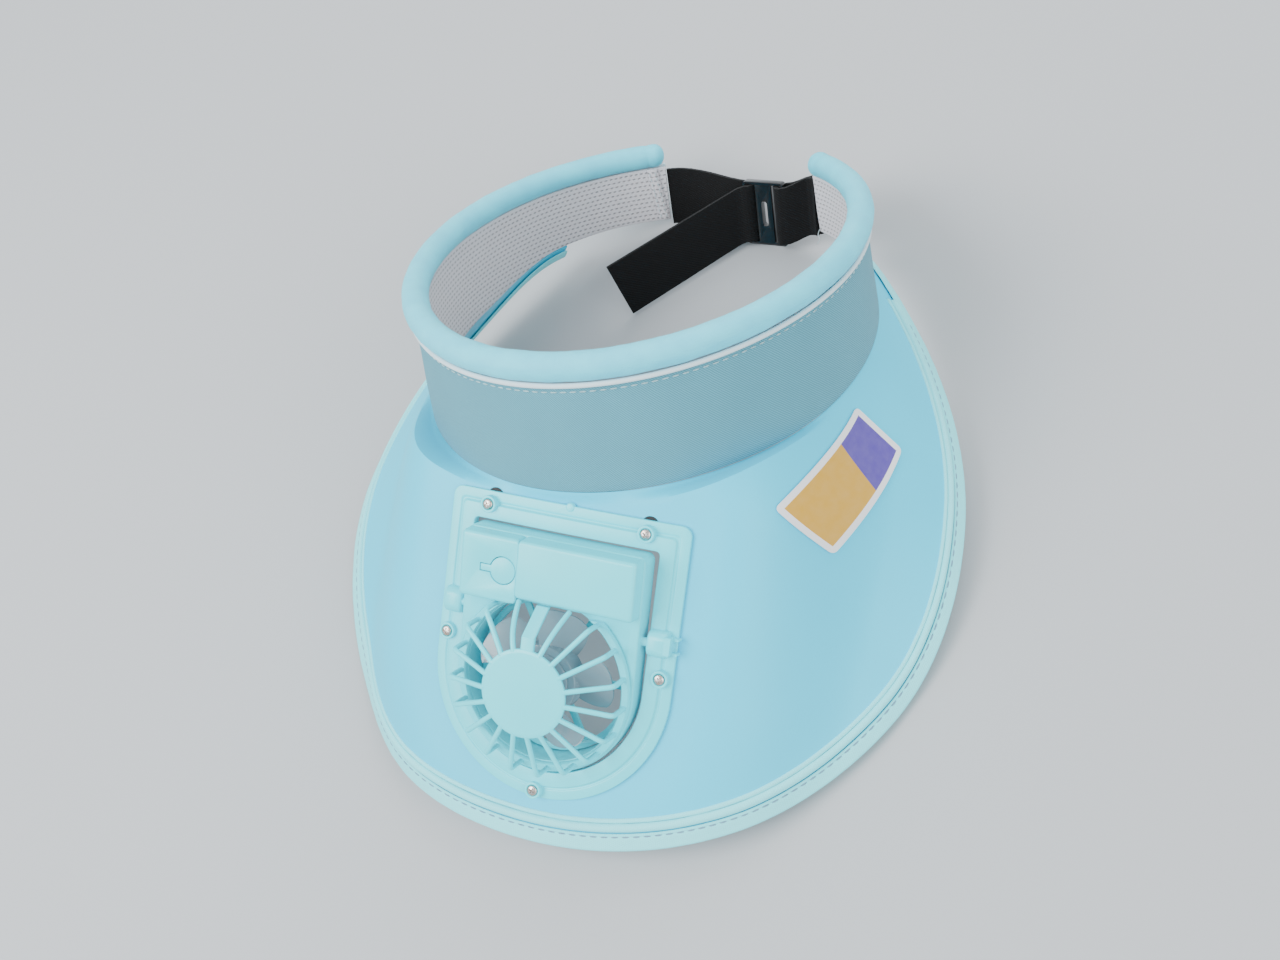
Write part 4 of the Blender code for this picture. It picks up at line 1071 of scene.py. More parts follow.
@dataclass
class HeadBand:
    """Outer twill, mesh lining, padded roll, piping and the seam between them."""

    shape: HatShape = SHAPE
    columns: int = 150
    rows: int = 12
    ripple: float = 0.00035
    hem: float = 0.0052
    hem_top: float = 0.0052
    hem_short: float = 0.0058
    hem_inset: float = 0.25
    hem_lean: float = 2.4
    stitch: float = 0.0024
    stitch_pitch: float = 0.0034
    hem_rows: Point = (0.25, 0.8)
    hem_row_top: float = 0.0062
    hem_row_short: float = 0.0078
    hem_row_count: int = 9
    thread_steps: tuple[tuple[float, float, float], ...] = (
        (-0.0010, -0.0012, -0.0018), (0.0006, -0.0020, -0.0036), (-0.0008, -0.0030, -0.0052))

    def angles(self) -> list[float]:
        """Angles of the band's sections, from its left end to its right end."""
        return spread(-self.shape.left_end, self.shape.right_end, self.columns)

    def slack(self, angle: float, drop: float) -> float:
        """Slight waves of both walls, none along the seams."""
        share = drop / self.shape.band_height(angle)
        calm = math.sin(math.pi * min(max(share, 0.0), 1.0))
        return self.ripple * calm * noise.noise(Vector((angle / 11, share * 2, 0.0)))

    def piping_drop(self) -> float:
        """Drop of the piping's centre, seated under the roll."""
        reach = self.shape.roll + self.shape.piping + self.shape.gap
        return math.sqrt(reach ** 2 - self.shape.piping_out ** 2)

    def wall(self, name: str, top: float, out: float, sign: float) -> Piece:
        """One wall of the band.

        Args:
            name: Name of the piece.
            top: Drop of its upper edge.
            out: Where its seat lies from the band's middle surface.
            sign: 1 for a wall that grows outwards, -1 for one that grows inwards.

        Returns:
            The closed wall.
        """
        def place(angle: float, share: float) -> tuple[Vector, Point]:
            height = self.shape.band_height(angle)
            drop = height + (top - height) * share
            point = self.shape.band_point(angle, drop, out + self.slack(angle, drop))
            return point, (self.shape.arc_length(angle), -drop)

        piece = skin(name, self.angles(), spread(0, 1, self.rows), place)
        thicken(piece, self.shape.cloth - self.shape.gap / 2, sign)
        soften(piece, 0.0004, 2, 60)
        return piece

    def roll_radius(self, angle: float, turn: float) -> float:
        """Radius of the padded roll, with soft creases and round ends."""
        shape = self.shape
        from_end = math.radians(min(angle + shape.left_end, shape.right_end - angle)) * shape.half_length
        share = min(from_end / shape.roll, 1.0)
        end = math.sqrt(max(1 - (1 - share) ** 2, 0.0004))
        crease = noise.noise(Vector((angle / 4.5, math.cos(turn), math.sin(turn)))) * 0.00016
        pull = noise.noise(Vector((angle / 1.3, math.cos(turn) * 0.6, 4.0))) * 0.00008
        tuck = 0.00030 * math.exp(-((from_end - 0.0085) / 0.0011) ** 2)
        return shape.roll * end + (crease + pull) * share - tuck

    def roll(self) -> Piece:
        """Padded roll along the band's top edge."""
        shape = self.shape
        lip = math.degrees(shape.roll / shape.half_length)
        close = [lip * t for t in (0.02, 0.08, 0.18, 0.32, 0.5, 0.72, 1.0, 1.4, 1.7, 1.85, 2.0, 2.4)]
        inner = spread(-shape.left_end + lip * 3, shape.right_end - lip * 3, 260)
        angles = [-shape.left_end, *[t - shape.left_end for t in close], *inner,
                  *[shape.right_end - t for t in close[::-1]], shape.right_end]

        def place(angle: float, share: float) -> tuple[Vector, Point]:
            turn = math.tau * share
            point = shape.band_point(angle, 0, 0)
            point += self.roll_radius(angle, turn) * shape.round_out(angle, turn)
            return point, (shape.arc_length(angle), share * math.tau * shape.roll)

        return hose("roll_padding", angles, 28, place)

    def piping(self) -> Piece:
        """Thin piping under the roll."""
        shape = self.shape
        drop = self.piping_drop()

        def place(angle: float, share: float) -> tuple[Vector, Point]:
            turn = math.tau * share
            point = shape.band_point(angle, drop, shape.piping_out)
            point += shape.piping * shape.round_out(angle, turn)
            return point, (shape.arc_length(angle), share * math.tau * shape.piping)

        return hose("piping_cord", spread(-shape.left_end, shape.right_end, 220), 12, place)

    def stitch_places(self, drop: float, out: float) -> list[Matrix]:
        """Places of stitches along the band at a drop, X along the seam and Z out of the cloth."""
        shape = self.shape
        step = math.degrees(self.stitch_pitch / ((shape.half_width + shape.half_length) / 2))
        places = []
        angle = -shape.left_end + step
        while angle < shape.right_end - step:
            start = shape.band_point(angle - 0.5, drop, out)
            way = (shape.band_point(angle + 0.5, drop, out) - start).normalized()
            face = shape.outward(angle)
            places.append(HAT @ axes(way, face.cross(way), face, shape.band_point(angle, drop, out)))
            angle += step
        return places

    def hem_angle(self, across: float, down: float) -> float:
        """Angle of a place on the slanted hem, by its shares of the hem's width and height."""
        edge = -self.shape.left_end + self.hem_inset + self.hem_lean * (1 - down)
        return edge + math.degrees(self.hem / self.shape.half_length) * across

    def lining_hem(self) -> Piece:
        """Slanted hem at the lining's left end, on its inner face: the ply that shows."""
        shape = self.shape
        inner = -shape.gap / 2 - shape.cloth - 0.0002

        def place(u: float, v: float) -> tuple[Vector, Point]:
            drop = self.hem_top + (shape.band_height(-shape.left_end) - self.hem_short) * v
            bulge = 0.0006 * math.sin(math.pi * u)
            return shape.band_point(self.hem_angle(u, v), drop, inner - bulge), (self.hem * u, drop)

        hem = skin("lining_hem", spread(0, 1, 10), spread(0, 1, 24), place)
        thicken(hem, 0.0007, 0)
        soften(hem, 0.0002, 2, 60)
        return hem

    def hem_stitches(self) -> Piece:
        """Two rows of white stitches down the lining's hem."""
        shape = self.shape
        inner = -shape.gap / 2 - shape.cloth - 0.0012
        down = Vector((0, 0, -1))
        places = []
        for row in self.hem_rows:
            for i in range(self.hem_row_count):
                share = (i + 0.5) / self.hem_row_count
                tall = shape.band_height(-shape.left_end) - self.hem_row_short
                drop = self.hem_row_top + tall * share
                angle = self.hem_angle(row, share)
                face = -shape.outward(angle)
                place = axes(down, face.cross(down), face, shape.band_point(angle, drop, inner))
                places.append(HAT @ place @ Matrix.Scale(0.75, 4))
        return copies("hem_stitches", stitch_model(self.stitch), places)

    def loose_thread(self) -> Piece:
        """Short loose thread at the lining's right corner."""
        low = self.shape.band_height(self.shape.right_end) - 0.0012
        start = self.shape.band_point(self.shape.right_end - 0.5, low, -0.0020)
        route = [start, *[start + Vector(step) for step in self.thread_steps]]
        return wire("loose_thread", [HAT @ point for point in route], 0.00016)

    def build(self) -> None:
        """Make the band's pieces, dress them and put them on the hat."""
        shape = self.shape
        side = shape.piping_out - shape.gap / 2 - shape.cloth
        top = self.piping_drop() + math.sqrt((shape.piping + shape.gap) ** 2 - side ** 2)
        around = shape.arc_length(shape.left_end + shape.right_end)
        outer = finished(self.wall("twill_wall", top, shape.gap / 2, 1), BAND_TWILL, Body.HAT, "band_outer")
        inner_wall = self.wall("mesh_lining", shape.roll + shape.gap, -shape.gap / 2, -1)
        lining = finished(inner_wall, AIR_MESH, Body.HAT, "band_lining")
        for piece, low in ((outer, top), (lining, shape.roll)):
            heights = [shape.band_height(angle) - low for angle in self.angles()]
            middle = sum(heights) / len(heights)
            around * middle
        finished(self.roll(), SATIN_ROLL, Body.HAT, "top_roll")
        finished(self.piping(), WHITE_PIPING, Body.HAT, "band_piping")
        seam = self.stitch_places(top + 0.0016, shape.gap / 2 + shape.cloth + 0.00002)
        finished(copies("band_stitches", stitch_model(self.stitch), seam), THREAD, Body.HAT)
        hem = finished(self.lining_hem(), AIR_MESH, Body.HAT)
        tall = shape.band_height(-shape.left_end) - self.hem_short
        self.hem * tall * 1.02
        finished(self.hem_stitches(), WHITE_PIPING, Body.HAT)
        finished(self.loose_thread(), WHITE_PIPING, Body.HAT)


def stitch_model(length: float) -> Piece:
    """One stitch: a slim bead along X, half sunk in the cloth at Z 0."""
    piece = start_from(bpy.ops.mesh.primitive_uv_sphere_add, "stitch", segments=8, ring_count=6, radius=1)
    piece.data.transform(Matrix.Diagonal((length / 2, 0.00028, 0.00022, 1)))
    return piece


@dataclass
class Brim:
    """Laminated sheet with its hole, painted shadow for two slots, folded binding, ridges, seam and label.

    The plan is a rough guess at the unrolled sheet's size, in shares of the brim's width and the rim's length; it
    is not used.
    The rim's stretch is roughly its length over the band's, for the map of its weave.
    """

    shape: HatShape = SHAPE
    columns: int = 236
    thin_ridge: float = 0.0007
    thin_inset: float = 0.0108
    stitch: float = 0.0026
    stitch_pitch: float = 0.0036
    seam_inset: float = 0.0011
    groove: float = 0.0003
    seam_end: float = 108.0
    plan: Point = (1.75, 0.46)
    rim_stretch: float = 1.6
    hole_clearance: float = 0.0020
    hole_corner: float = 0.0015
    label_angle: float = 61.0
    label_along: float = 0.0240
    label_turn: float = 72.6
    label_thickness: float = 0.0004
    label_lift: float = 0.00055
    label_corner: float = 0.0018
    shadow_disc: float = 0.0031
    shadow_disc_rise: float = 0.0012
    shadow_discs_across: Point = (-0.0277, 0.0286)

    def angles(self) -> list[float]:
        """Angles of the brim's sections."""
        return spread(-self.shape.brim_end, self.shape.brim_end, self.columns)

    def sheet(self) -> Piece:
        """Smooth sheet from the band's foot to inside the binding, cut out for the fan."""
        shape = self.shape
        shares = [0.0, 0.006, 0.014, 0.024, 0.036, 0.052, 0.075, *spread(0.1, 0.9, 36), 0.93, 0.96, 0.98, 1.0]

        def place(angle: float, share: float) -> tuple[Vector, Point]:
            along = (shape.brim_width(angle) - shape.sheet_inset()) * share
            return shape.brim_point(angle, along, 0), (shape.arc_length(angle), along)

        piece = skin("brim_sheet", self.angles(), shares, place)
        thicken(piece, shape.brim_wall, 1)
        fan = shape.fan
        grow = self.hole_clearance - fan.border
        outline = d_outline(fan.half + grow, fan.top + grow, self.hole_corner)
        hole = put(rings("brim_hole", [level(outline, -0.03), level(outline, 0.03)]), FAN_WORLD)
        boolean(piece, "DIFFERENCE", [hole])
        soften(piece, 0, 2, 40)
        return piece

    def binding(self) -> Piece:
        """Fabric folded over the rim, slightly puffed between its stitches."""
        shape = self.shape
        middle = -shape.brim_wall / 2
        slot = shape.brim_wall / 2 + shape.binding_slack
        face = slot + shape.binding_wall
        edge = shape.gap - shape.sheet_inset()
        width = shape.binding
        seam = self.seam_inset - width
        top = [(-width, slot + 0.0003), (-width + 0.00015, face - 0.00015), (seam - 0.0005, face),
               (seam, face - self.groove), (seam + 0.0006, face)]
        top += [(-width * (1 - t), face) for t in (0.35, 0.5, 0.65, 0.78)]
        nose = [(-shape.binding_round * (1 - math.cos(t)), face * math.sin(t))
                for t in radians(80, 60, 40, 20, 0)]
        half = top + nose
        section = [*half, *[(s, -out) for s, out in half[-2::-1]], (edge, -slot), (edge, slot)]
        lengths = [0.0]
        for a, b in zip(section, section[1:]):
            lengths.append(lengths[-1] + math.hypot(b[0] - a[0], b[1] - a[1]))

        def place(angle: float, share: float) -> tuple[Vector, Point]:
            i = round(share * len(section)) % len(section)
            s, out = section[i]
            wide = shape.brim_width(angle)
            along = max(wide + s, 0.25 * wide)
            puff = 0.00012 * noise.noise(Vector((angle * 1.7, s * 300, 0))) * (1 if out > 0 else 0)
            flat = (shape.arc_length(angle) * self.rim_stretch, lengths[i])
            return shape.brim_point(angle, along, middle + out + puff), flat

        piece = skin("rim_binding", self.angles(), spread(0, 1, len(section)), place)
        settle(piece, caps=True)
        soften(piece, 0, 2, 55)
        return piece

    def ridge(self, name: str, inset: float, radius: float, out: float) -> Piece:
        """Corded ridge along the rim at an inset."""
        shape = self.shape
        angles = [angle for angle in self.angles() if shape.brim_width(angle) > 2 * shape.ridge_inset]
        wobble = 0.00010

        def place(angle: float, share: float) -> tuple[Vector, Point]:
            turn = math.tau * share
            sway = wobble * noise.noise(Vector((angle / 3, inset * 500, 0)))
            along = shape.brim_width(angle) - inset + sway
            shift = (along + radius * 1.25 * math.cos(turn), out + radius * math.sin(turn))
            flat = (shape.arc_length(angle) * self.rim_stretch, share * math.tau * radius)
            return shape.brim_point(angle, *shift), flat

        return hose(name, angles, 14, place)

    def stitches(self) -> Piece:
        """Seam along the binding's inner edge."""
        shape = self.shape
        out = shape.binding_slack + shape.binding_wall - self.groove / 2

        def edge(turn: float) -> Vector:
            """Point of the brim's face under the binding's inner edge."""
            return shape.brim_surface(turn, shape.brim_width(turn) - shape.binding)

        places = []
        last = None
        for angle in spread(-self.seam_end, self.seam_end, 2400):
            inner = shape.brim_width(angle) - shape.binding
            point = shape.brim_point(angle, inner + self.seam_inset, out)
            if last is not None and (point - last).length < self.stitch_pitch:
                continue
            last = point
            way = (edge(angle + 0.3) - edge(angle - 0.3)).normalized()
            face = (shape.brim_point(angle, inner, 0.001) - edge(angle)).normalized()
            side = face.cross(way).normalized()
            places.append(HAT @ axes(way, side, way.cross(side), point))
        return copies("rim_stitches", stitch_model(self.stitch), places)

    def label_point(self, along: float, aside: float) -> Vector:
        """Point of the label's plan, laid on the brim by a turn about its middle."""
        turn = math.radians(self.label_turn)
        down = self.label_along + along * math.cos(turn) - aside * math.sin(turn)
        middle = self.shape.cone_point(self.label_angle, down)
        shift = (along * math.sin(turn) + aside * math.cos(turn)) / math.hypot(middle.x, middle.y)
        return self.shape.brim_point(self.label_angle - math.degrees(shift), down, self.label_lift)

    def label_span(self) -> Point:
        """Width and length of the label as it lies, measured along its middle lines."""
        across = [self.label_point(0, t) for t in spread(-LABEL.width / 2, LABEL.width / 2, 24)]
        along = [self.label_point(t, 0) for t in spread(-LABEL.length / 2, LABEL.length / 2, 24)]
        return run_length(across), run_length(along)

    def label(self) -> Piece:
        """Bare label on the brim's right side, with round corners."""
        corner = self.label_corner

        def place(u: float, v: float) -> tuple[Vector, Point]:
            tall = min(u, 1 - u) * LABEL.length
            pinch = corner - math.sqrt(max(corner ** 2 - (corner - min(tall, corner)) ** 2, 0.0))
            aside = (v - 0.5) * (LABEL.width - 2 * pinch)
            flat = (u * LABEL.length, LABEL.width / 2 + aside)
            return self.label_point((u - 0.5) * LABEL.length, aside), flat

        ends = [0.0, 0.004, 0.012, 0.024, 0.042]
        us = [*ends, *spread(0.07, 0.93, 26), *[1 - t for t in ends[::-1]]]
        piece = skin("bare_label", us, spread(0, 1, 18), place)
        thicken(piece, self.label_thickness, -1)
        soften(piece, 0, 2, 50)
        return piece

    def slot_shadows(self) -> list[Piece]:
        """Thin dark discs of painted shadow at the ends of the two slots behind the bezel's top corners."""
        fan = self.shape.fan
        pieces = []
        for i, across in enumerate(self.shadow_discs_across, 1):
            place = fan.on_bend(across, fan.top - self.shadow_disc + self.shadow_disc_rise)
            profile = [(self.shadow_disc, 0.00004), (self.shadow_disc, 0.00016), (self.shadow_disc * 0.97, 0.00020)]
            pieces.append(put(turned(f"brim_slot_{i}", profile, 40), FAN_WORLD @ place))
        return pieces

    def build(self) -> None:
        """Make the brim's pieces, dress them and put them on the hat."""
        shape = self.shape
        sheet = finished(self.sheet(), BRIM_SHEET, Body.HAT, "brim")
        binding = finished(self.binding(), BINDING, Body.HAT, "brim_binding")
        outer = run_length([shape.brim_point(angle, shape.brim_width(angle), 0) for angle in self.angles()])
        2 * shape.binding
        cord = self.ridge("rim_cord", shape.ridge_inset, shape.ridge, shape.ridge * 0.55)
        finished(cord, BINDING, Body.HAT, "brim_piping")
        finished(self.ridge("inner_ridge", self.thin_inset, self.thin_ridge, 0.00010), BINDING, Body.HAT)
        finished(self.stitches(), RIM_THREAD_SHADE, Body.HAT)
        label = finished(self.label(), LABEL, Body.HAT, "brim_label")
        self.label_span()
        for piece in self.slot_shadows():
            finished(piece, SLOT_SHADOW, Body.HAT)


@dataclass
class Bezel:
    """D-shaped frame with its step, bosses, lugs and screws, in the fan's frame."""

    fan: FanPlace = FanPlace()
    edge: float = 0.0012
    lip: float = 0.0019
    lip_inset: float = 0.0042
    collar: float = 0.0012
    collar_wall: float = 0.0015
    boss: float = 0.0029
    boss_height: float = 0.0034
    head: float = 0.0018
    head_height: float = 0.0009
    shank: float = 0.0010
    cross: Point = (0.00105, 0.00022)
    screw_down: float = 0.0044
    screw_out: float = 0.0285
    side_screw: Point = (0.0391, 0.0069)
    low_screw: float = 0.0027
    lug_length: float = 0.0069
    lug_width: float = 0.0090
    round_edge: float = 0.00035
    screws: tuple[Point, ...] = field(init=False)

    def __post_init__(self) -> None:
        """Work out the screws' places."""
        top = self.fan.top - self.screw_down
        far, up = self.side_screw
        self.screws = ((-self.screw_out, top), (self.screw_out, top), (-far, up), (far, up),
                       (0.0, self.low_screw - self.fan.half))

    def border(self) -> Piece:
        """Flat outer rim, groove, raised inner step and collar, drawn down by the bend."""
        fan = self.fan
        foot, edge, lip = fan.foot, fan.foot + self.edge, fan.foot + self.lip
        groove = edge - 0.00035
        step, wall = self.lip_inset, fan.border - self.collar_wall
        corners = [(0.0, foot), (0.0, edge), (step - 0.0009, edge), (step - 0.0006, groove), (step, groove),
                   (step + 0.0004, lip), (fan.border, lip), (fan.border, -self.collar),
                   (wall, -self.collar), (wall, foot)]
        loops = []
        for inset, height in rounded_profile(corners, self.round_edge):
            outline = d_outline(fan.half - inset, fan.top - inset, max(0.0035 - inset, 0.0015))
            loops.append([Vector((x, y, height + fan.bend(x))) for x, y in outline])
        return rings("bezel_frame", loops, wrap=True)

    def boss_piece(self, place: Matrix) -> Piece:
        """Round boss with a countersunk seat for its screw."""
        high = self.fan.foot + self.boss_height
        profile = rounded_profile([(self.boss * 1.06, self.fan.foot + 0.0005), (self.boss, high),
                                   (self.head + 0.00025, high), (self.head + 0.0001, high - 0.0007),
                                   (self.shank * 0.5, high - 0.0007)], 0.00030)
        return put(turned("boss", profile, 40), place)

    def lug(self, side: int) -> Piece:
        """Arched lug that carries a pivot pin, on the left (-1) or the right (1)."""
        fan = self.fan
        inner = fan.half - fan.border + 0.0002
        half, reach, flat = self.lug_width / 2, 0.0031, fan.pivot_out
        arch = arc((flat, half - reach), reach, 90, 0, 8) + arc((flat, reach - half), reach, 0, -90, 8)
        arch = [(0.0004, -half), (0.0004, half), *arch]
        loops = []
        for share, shrink in ((0.0, 0.86), (0.05, 0.95), (0.13, 1.0), (0.87, 1.0), (0.95, 0.95), (1.0, 0.86)):
            x = side * (inner + self.lug_length * share)
            loops.append([
                Vector((x, fan.pivot_up + y * shrink, fan.bend(x) + (z if z < 0.001 else z * shrink)))
                for z, y in arch])
        return rings("lug", loops)

    def pocket(self) -> list[Piece]:
        """Low pocket with two small ridges outboard of the right lug."""
        fan = self.fan
        start = fan.half - fan.border + self.lug_length
        foot = fan.bend(start) + fan.foot + 0.0004
        pieces = []
        for low, high, lift, width, tall in ((-0.0008, 0.0016, 0.0, 0.0062, 0.0046),
                                             (0.0002, 0.0037, -0.0024, 0.0009, 0.0025),
                                             (0.0002, 0.0037, 0.0024, 0.0009, 0.0025)):
            middle = Vector((start + (low + high) / 2, fan.pivot_up + lift, 0))
            outline = rounded_box((start + low, fan.pivot_up + lift - width / 2),
                                  (start + high, fan.pivot_up + lift + width / 2), 0.0004)
            top = [middle + (Vector((x, y, 0)) - middle) * 0.88 + Vector((0, 0, tall)) for x, y in outline]
            pieces.append(rings("ledge", [level(outline, foot), level(outline, tall - 0.0003), top]))
        return pieces

    def nub(self) -> Piece:
        """Small moulded nub in the middle of the top edge."""
        profile = rounded_profile([(0.0017, 0.0006), (0.0014, 0.0018), (0.0002, 0.00185)], 0.0003)
        piece = turned("nub", profile, 24)
        return put(piece, Matrix.Translation((0.0008, self.fan.top - 0.0006, 0)))

    def screw(self, number: int, place: Matrix) -> Piece:
        """Cross-head screw with a domed head."""
        seat = self.fan.foot + self.boss_height - 0.0004
        dome = [(self.head * math.sin(t), seat + self.head_height * (0.35 + 0.65 * math.cos(t)))
                for t in radians(90, 75, 60, 45, 30, 15, 2)]
        profile = [(self.shank, -0.0052), (self.shank, seat), (self.head * 0.98, seat), *dome]
        piece = turned(f"cross_screw_{number}", profile, 36)
        arms = []
        for turn in (0, 90):
            outline = rounded_box((-self.cross[0], -self.cross[1]), self.cross, 0.0001, 2)
            arm = rings("arm", [level(outline, seat + 0.0002), level(outline, seat + 0.002)])
            arms.append(put(arm, Matrix.Rotation(math.radians(turn + 31 * number), 4, "Z")))
        boolean(piece, "DIFFERENCE", arms)
        soften(piece, 0, 2, 40)
        return put(piece, FAN_WORLD @ place)

    def build(self) -> None:
        """Make the bezel and its screws, dress them and put them on the hat."""
        places = [self.fan.on_bend(*spot) for spot in self.screws]
        bezel = self.border()
        bosses = [self.boss_piece(place) for place in places]
        boolean(bezel, "UNION", [*bosses, self.lug(-1), self.lug(1), *self.pocket(), self.nub()])
        put(bezel, FAN_WORLD)
        soften(bezel, 0, 2, 38)
        finished(bezel, MINT, Body.HAT, "fan_bezel")
        for i, place in enumerate(places, 1):
            finished(self.screw(i, place), STEEL, Body.HAT, f"bezel_screw_{i}")
        repaint("clamp_plate", MINT)


@dataclass
class FanModule:
    """Housing with its box and bore, grille, button, motor mount and rotor, in the module's frame."""

    fan: FanPlace = FanPlace()
    swing_gap: float = 0.0017
    top_gap: float = 0.0009
    drop: float = 0.0010
    back: float = 0.0055
    deck: float = 0.0055
    bore: float = 0.0282
    front: float = 0.0115
    foot: float = 0.0273
    skirt: float = 0.0026
    inset: float = 0.0003
    draft: float = 0.0004
    rounding: float = 0.0014
    panel_share: float = 0.335
    step: float = 0.0005
    slit: float = 0.00035
    button: float = 0.0045
    neck: float = 0.0022
    neck_length: float = 0.0036
    button_in: float = 0.0006
    button_up: float = 0.0088
    disc: float = 0.0150
    disc_front: float = 0.0212
    places: int = 19
    strut: Point = (0.0023, 0.0009)
    pin: float = 0.0015
    pin_length: float = 0.0057
    rib: float = 0.0009
    rib_reach: float = 0.0300
    rib_drop: float = 0.0048
    hub: float = 0.0125
    hub_back: float = -0.0008
    hub_front: float = 0.0075
    rotor: float = 0.0245
    blades: int = 5
    half: float = field(init=False)
    top: float = field(init=False)
    seam: float = field(init=False)

    def __post_init__(self) -> None:
        """Work out what follows from the bezel's opening."""
        self.half = self.fan.half - self.fan.border - self.swing_gap
        self.top = self.fan.top - self.fan.border - self.top_gap + self.drop
        self.seam = (self.half - self.inset - self.draft) * (2 * self.panel_share - 1)

    def panel(self, name: str, low: Point, high: Point, front: float, seam_left: bool) -> Piece:
        """One raised panel of the box: round on its free edges, tight along the seam.

        Args:
            name: Name of the piece.
            low: Its lower left corner.
            high: Its upper right corner.
            front: Height of its front.
            seam_left: Whether the seam is on its left side.

        Returns:
            The panel as a tool for the housing.
        """
        tight = 0.16
        profile = [(0.0, 0.001), (self.draft, front - self.rounding)]
        for t in radians(18, 36, 54, 72, 90):
            profile.append((self.draft + self.rounding * (1 - math.cos(t)),
                            front - self.rounding * (1 - math.sin(t))))
        loops = []
        for inset, height in profile:
            left = inset * tight if seam_left else inset
            right = inset if seam_left else inset * tight
            corner = max(self.rounding - inset * 0.35, 0.0004)
            outline = rounded_box((low[0] + left, low[1] + inset), (high[0] - right, high[1] - inset), corner)
            loops.append(level(outline, height))
        return rings(name, loops)

    def tongue(self, grow: float) -> list[Point]:
        """Outline of the button's round end and neck, grown on all sides."""
        radius = self.button + grow
        half_neck = self.neck / 2 + grow
        meet = math.degrees(math.asin(half_neck / radius))
        root = -self.button - self.neck_length - grow
        return arc((0, 0), radius, meet - 180, 180 - meet, 44) + [(root, half_neck), (root, -half_neck)]

    def button_place(self) -> Vector:
        """Centre of the button's round end."""
        return Vector((self.seam - self.button_in - self.button, self.foot + self.button_up, 0))

    def bore_tool(self) -> Piece:
        """Cutter for the bore: a cylinder that is flat under the box."""
        piece = start_from(bpy.ops.mesh.primitive_cylinder_add, "bore",
                           vertices=112, radius=self.bore, depth=0.06)
        with editing(piece):
            bpy.ops.mesh.bisect(plane_co=(0, self.foot - 0.0016, 0), plane_no=(0, 1, 0),
                                use_fill=True, clear_outer=True)
        settle(piece)
        return piece

    def housing(self) -> Piece:
        """D-shaped body with its box, bore, button slit and pivot pins."""
        corners = [(0.0024, -self.back), (0.0, -self.back + 0.0022), (0.0, self.deck), (0.0030, self.deck)]
        loops = []
        for inset, height in rounded_profile(corners, 0.0009, 4):
            outline = d_outline(self.half - inset, self.top - inset, 0.0025 - inset * 0.5)
            loops.append(level(outline, height))
        body = rings("fan_housing", loops)
        side, high = self.half - self.inset, self.top - self.inset
        right = self.panel("panel_right", (self.seam, self.foot), (side, high), self.front, True)
        left = self.panel("panel_left", (-side, self.foot - self.skirt), (self.seam + 0.0002, high),
                          self.front - self.step, False)
        middle = Matrix.Translation((0, self.fan.pivot_up + self.drop, self.fan.pivot_out - 0.0011))
        hinge = middle @ Matrix.Rotation(math.pi / 2, 4, "Y")
        reach = self.fan.half - self.fan.border + self.pin_length
        round_pin = circle(self.pin, 24)
        pins = []
        for low, high_end in ((-reach, -self.half + 0.0015), (self.half - 0.0015, reach)):
            pins.append(put(rings("pin", [level(round_pin, low), level(round_pin, high_end)]), hinge))
        boolean(body, "UNION", [right, left, *pins])
        gap = self.tongue(self.slit)
        slit = rings("slit", [level(gap, self.front - 0.0026), level(gap, self.front + 0.002)])
        boolean(body, "DIFFERENCE", [self.bore_tool(), put(slit, Matrix.Translation(self.button_place()))])
        soften(body, 0.00022, 2, 42)
        return put(body, MODULE)

    def power_tongue(self) -> Piece:
        """Tongue-shaped button with a soft edge."""
        high = self.front - self.step
        edge = ((0.0, high - 0.0012), (0.0, high - 0.0002), (0.00008, high - 0.00005), (0.0002, high))
        piece = rings("button_tongue", [level(self.tongue(-shrink), height) for shrink, height in edge])
        soften(piece, 0, 2, 40)
        return put(piece, MODULE @ Matrix.Translation(self.button_place()))

    def ribs(self) -> list[Piece]:
        """Bent ribs from the disc to the base ring, or to the box's foot at the top."""
        middle = self.disc_front - 0.0008
        low = self.deck + 0.0012
        pieces = []
        for i in range(1, self.places):
            turn = math.radians(90 + 360 * i / self.places)
            way = Vector((math.cos(turn), math.sin(turn), 0))
            start = (self.disc - 0.0009, middle)
            if (self.rib_reach + 2 * self.rib) * way.y > self.foot:
                end = (self.foot - 0.0003 - self.rib * abs(way.x)) / way.y
                route = (start, ((self.disc + end) / 2, middle - 0.0012), (end, self.front - 2 * self.rib))
            else:
                crest = middle - self.rib_drop
                route = (start, (self.rib_reach - 0.0055, crest + 0.0012), (self.rib_reach - 0.0004, crest),
                         (self.rib_reach, crest - 0.0026), (self.rib_reach, low))
            points = [way * reach + Vector((0, 0, height)) for reach, height in route]
            pieces.append(wire(f"rib_{i}", points, self.rib))
        return pieces

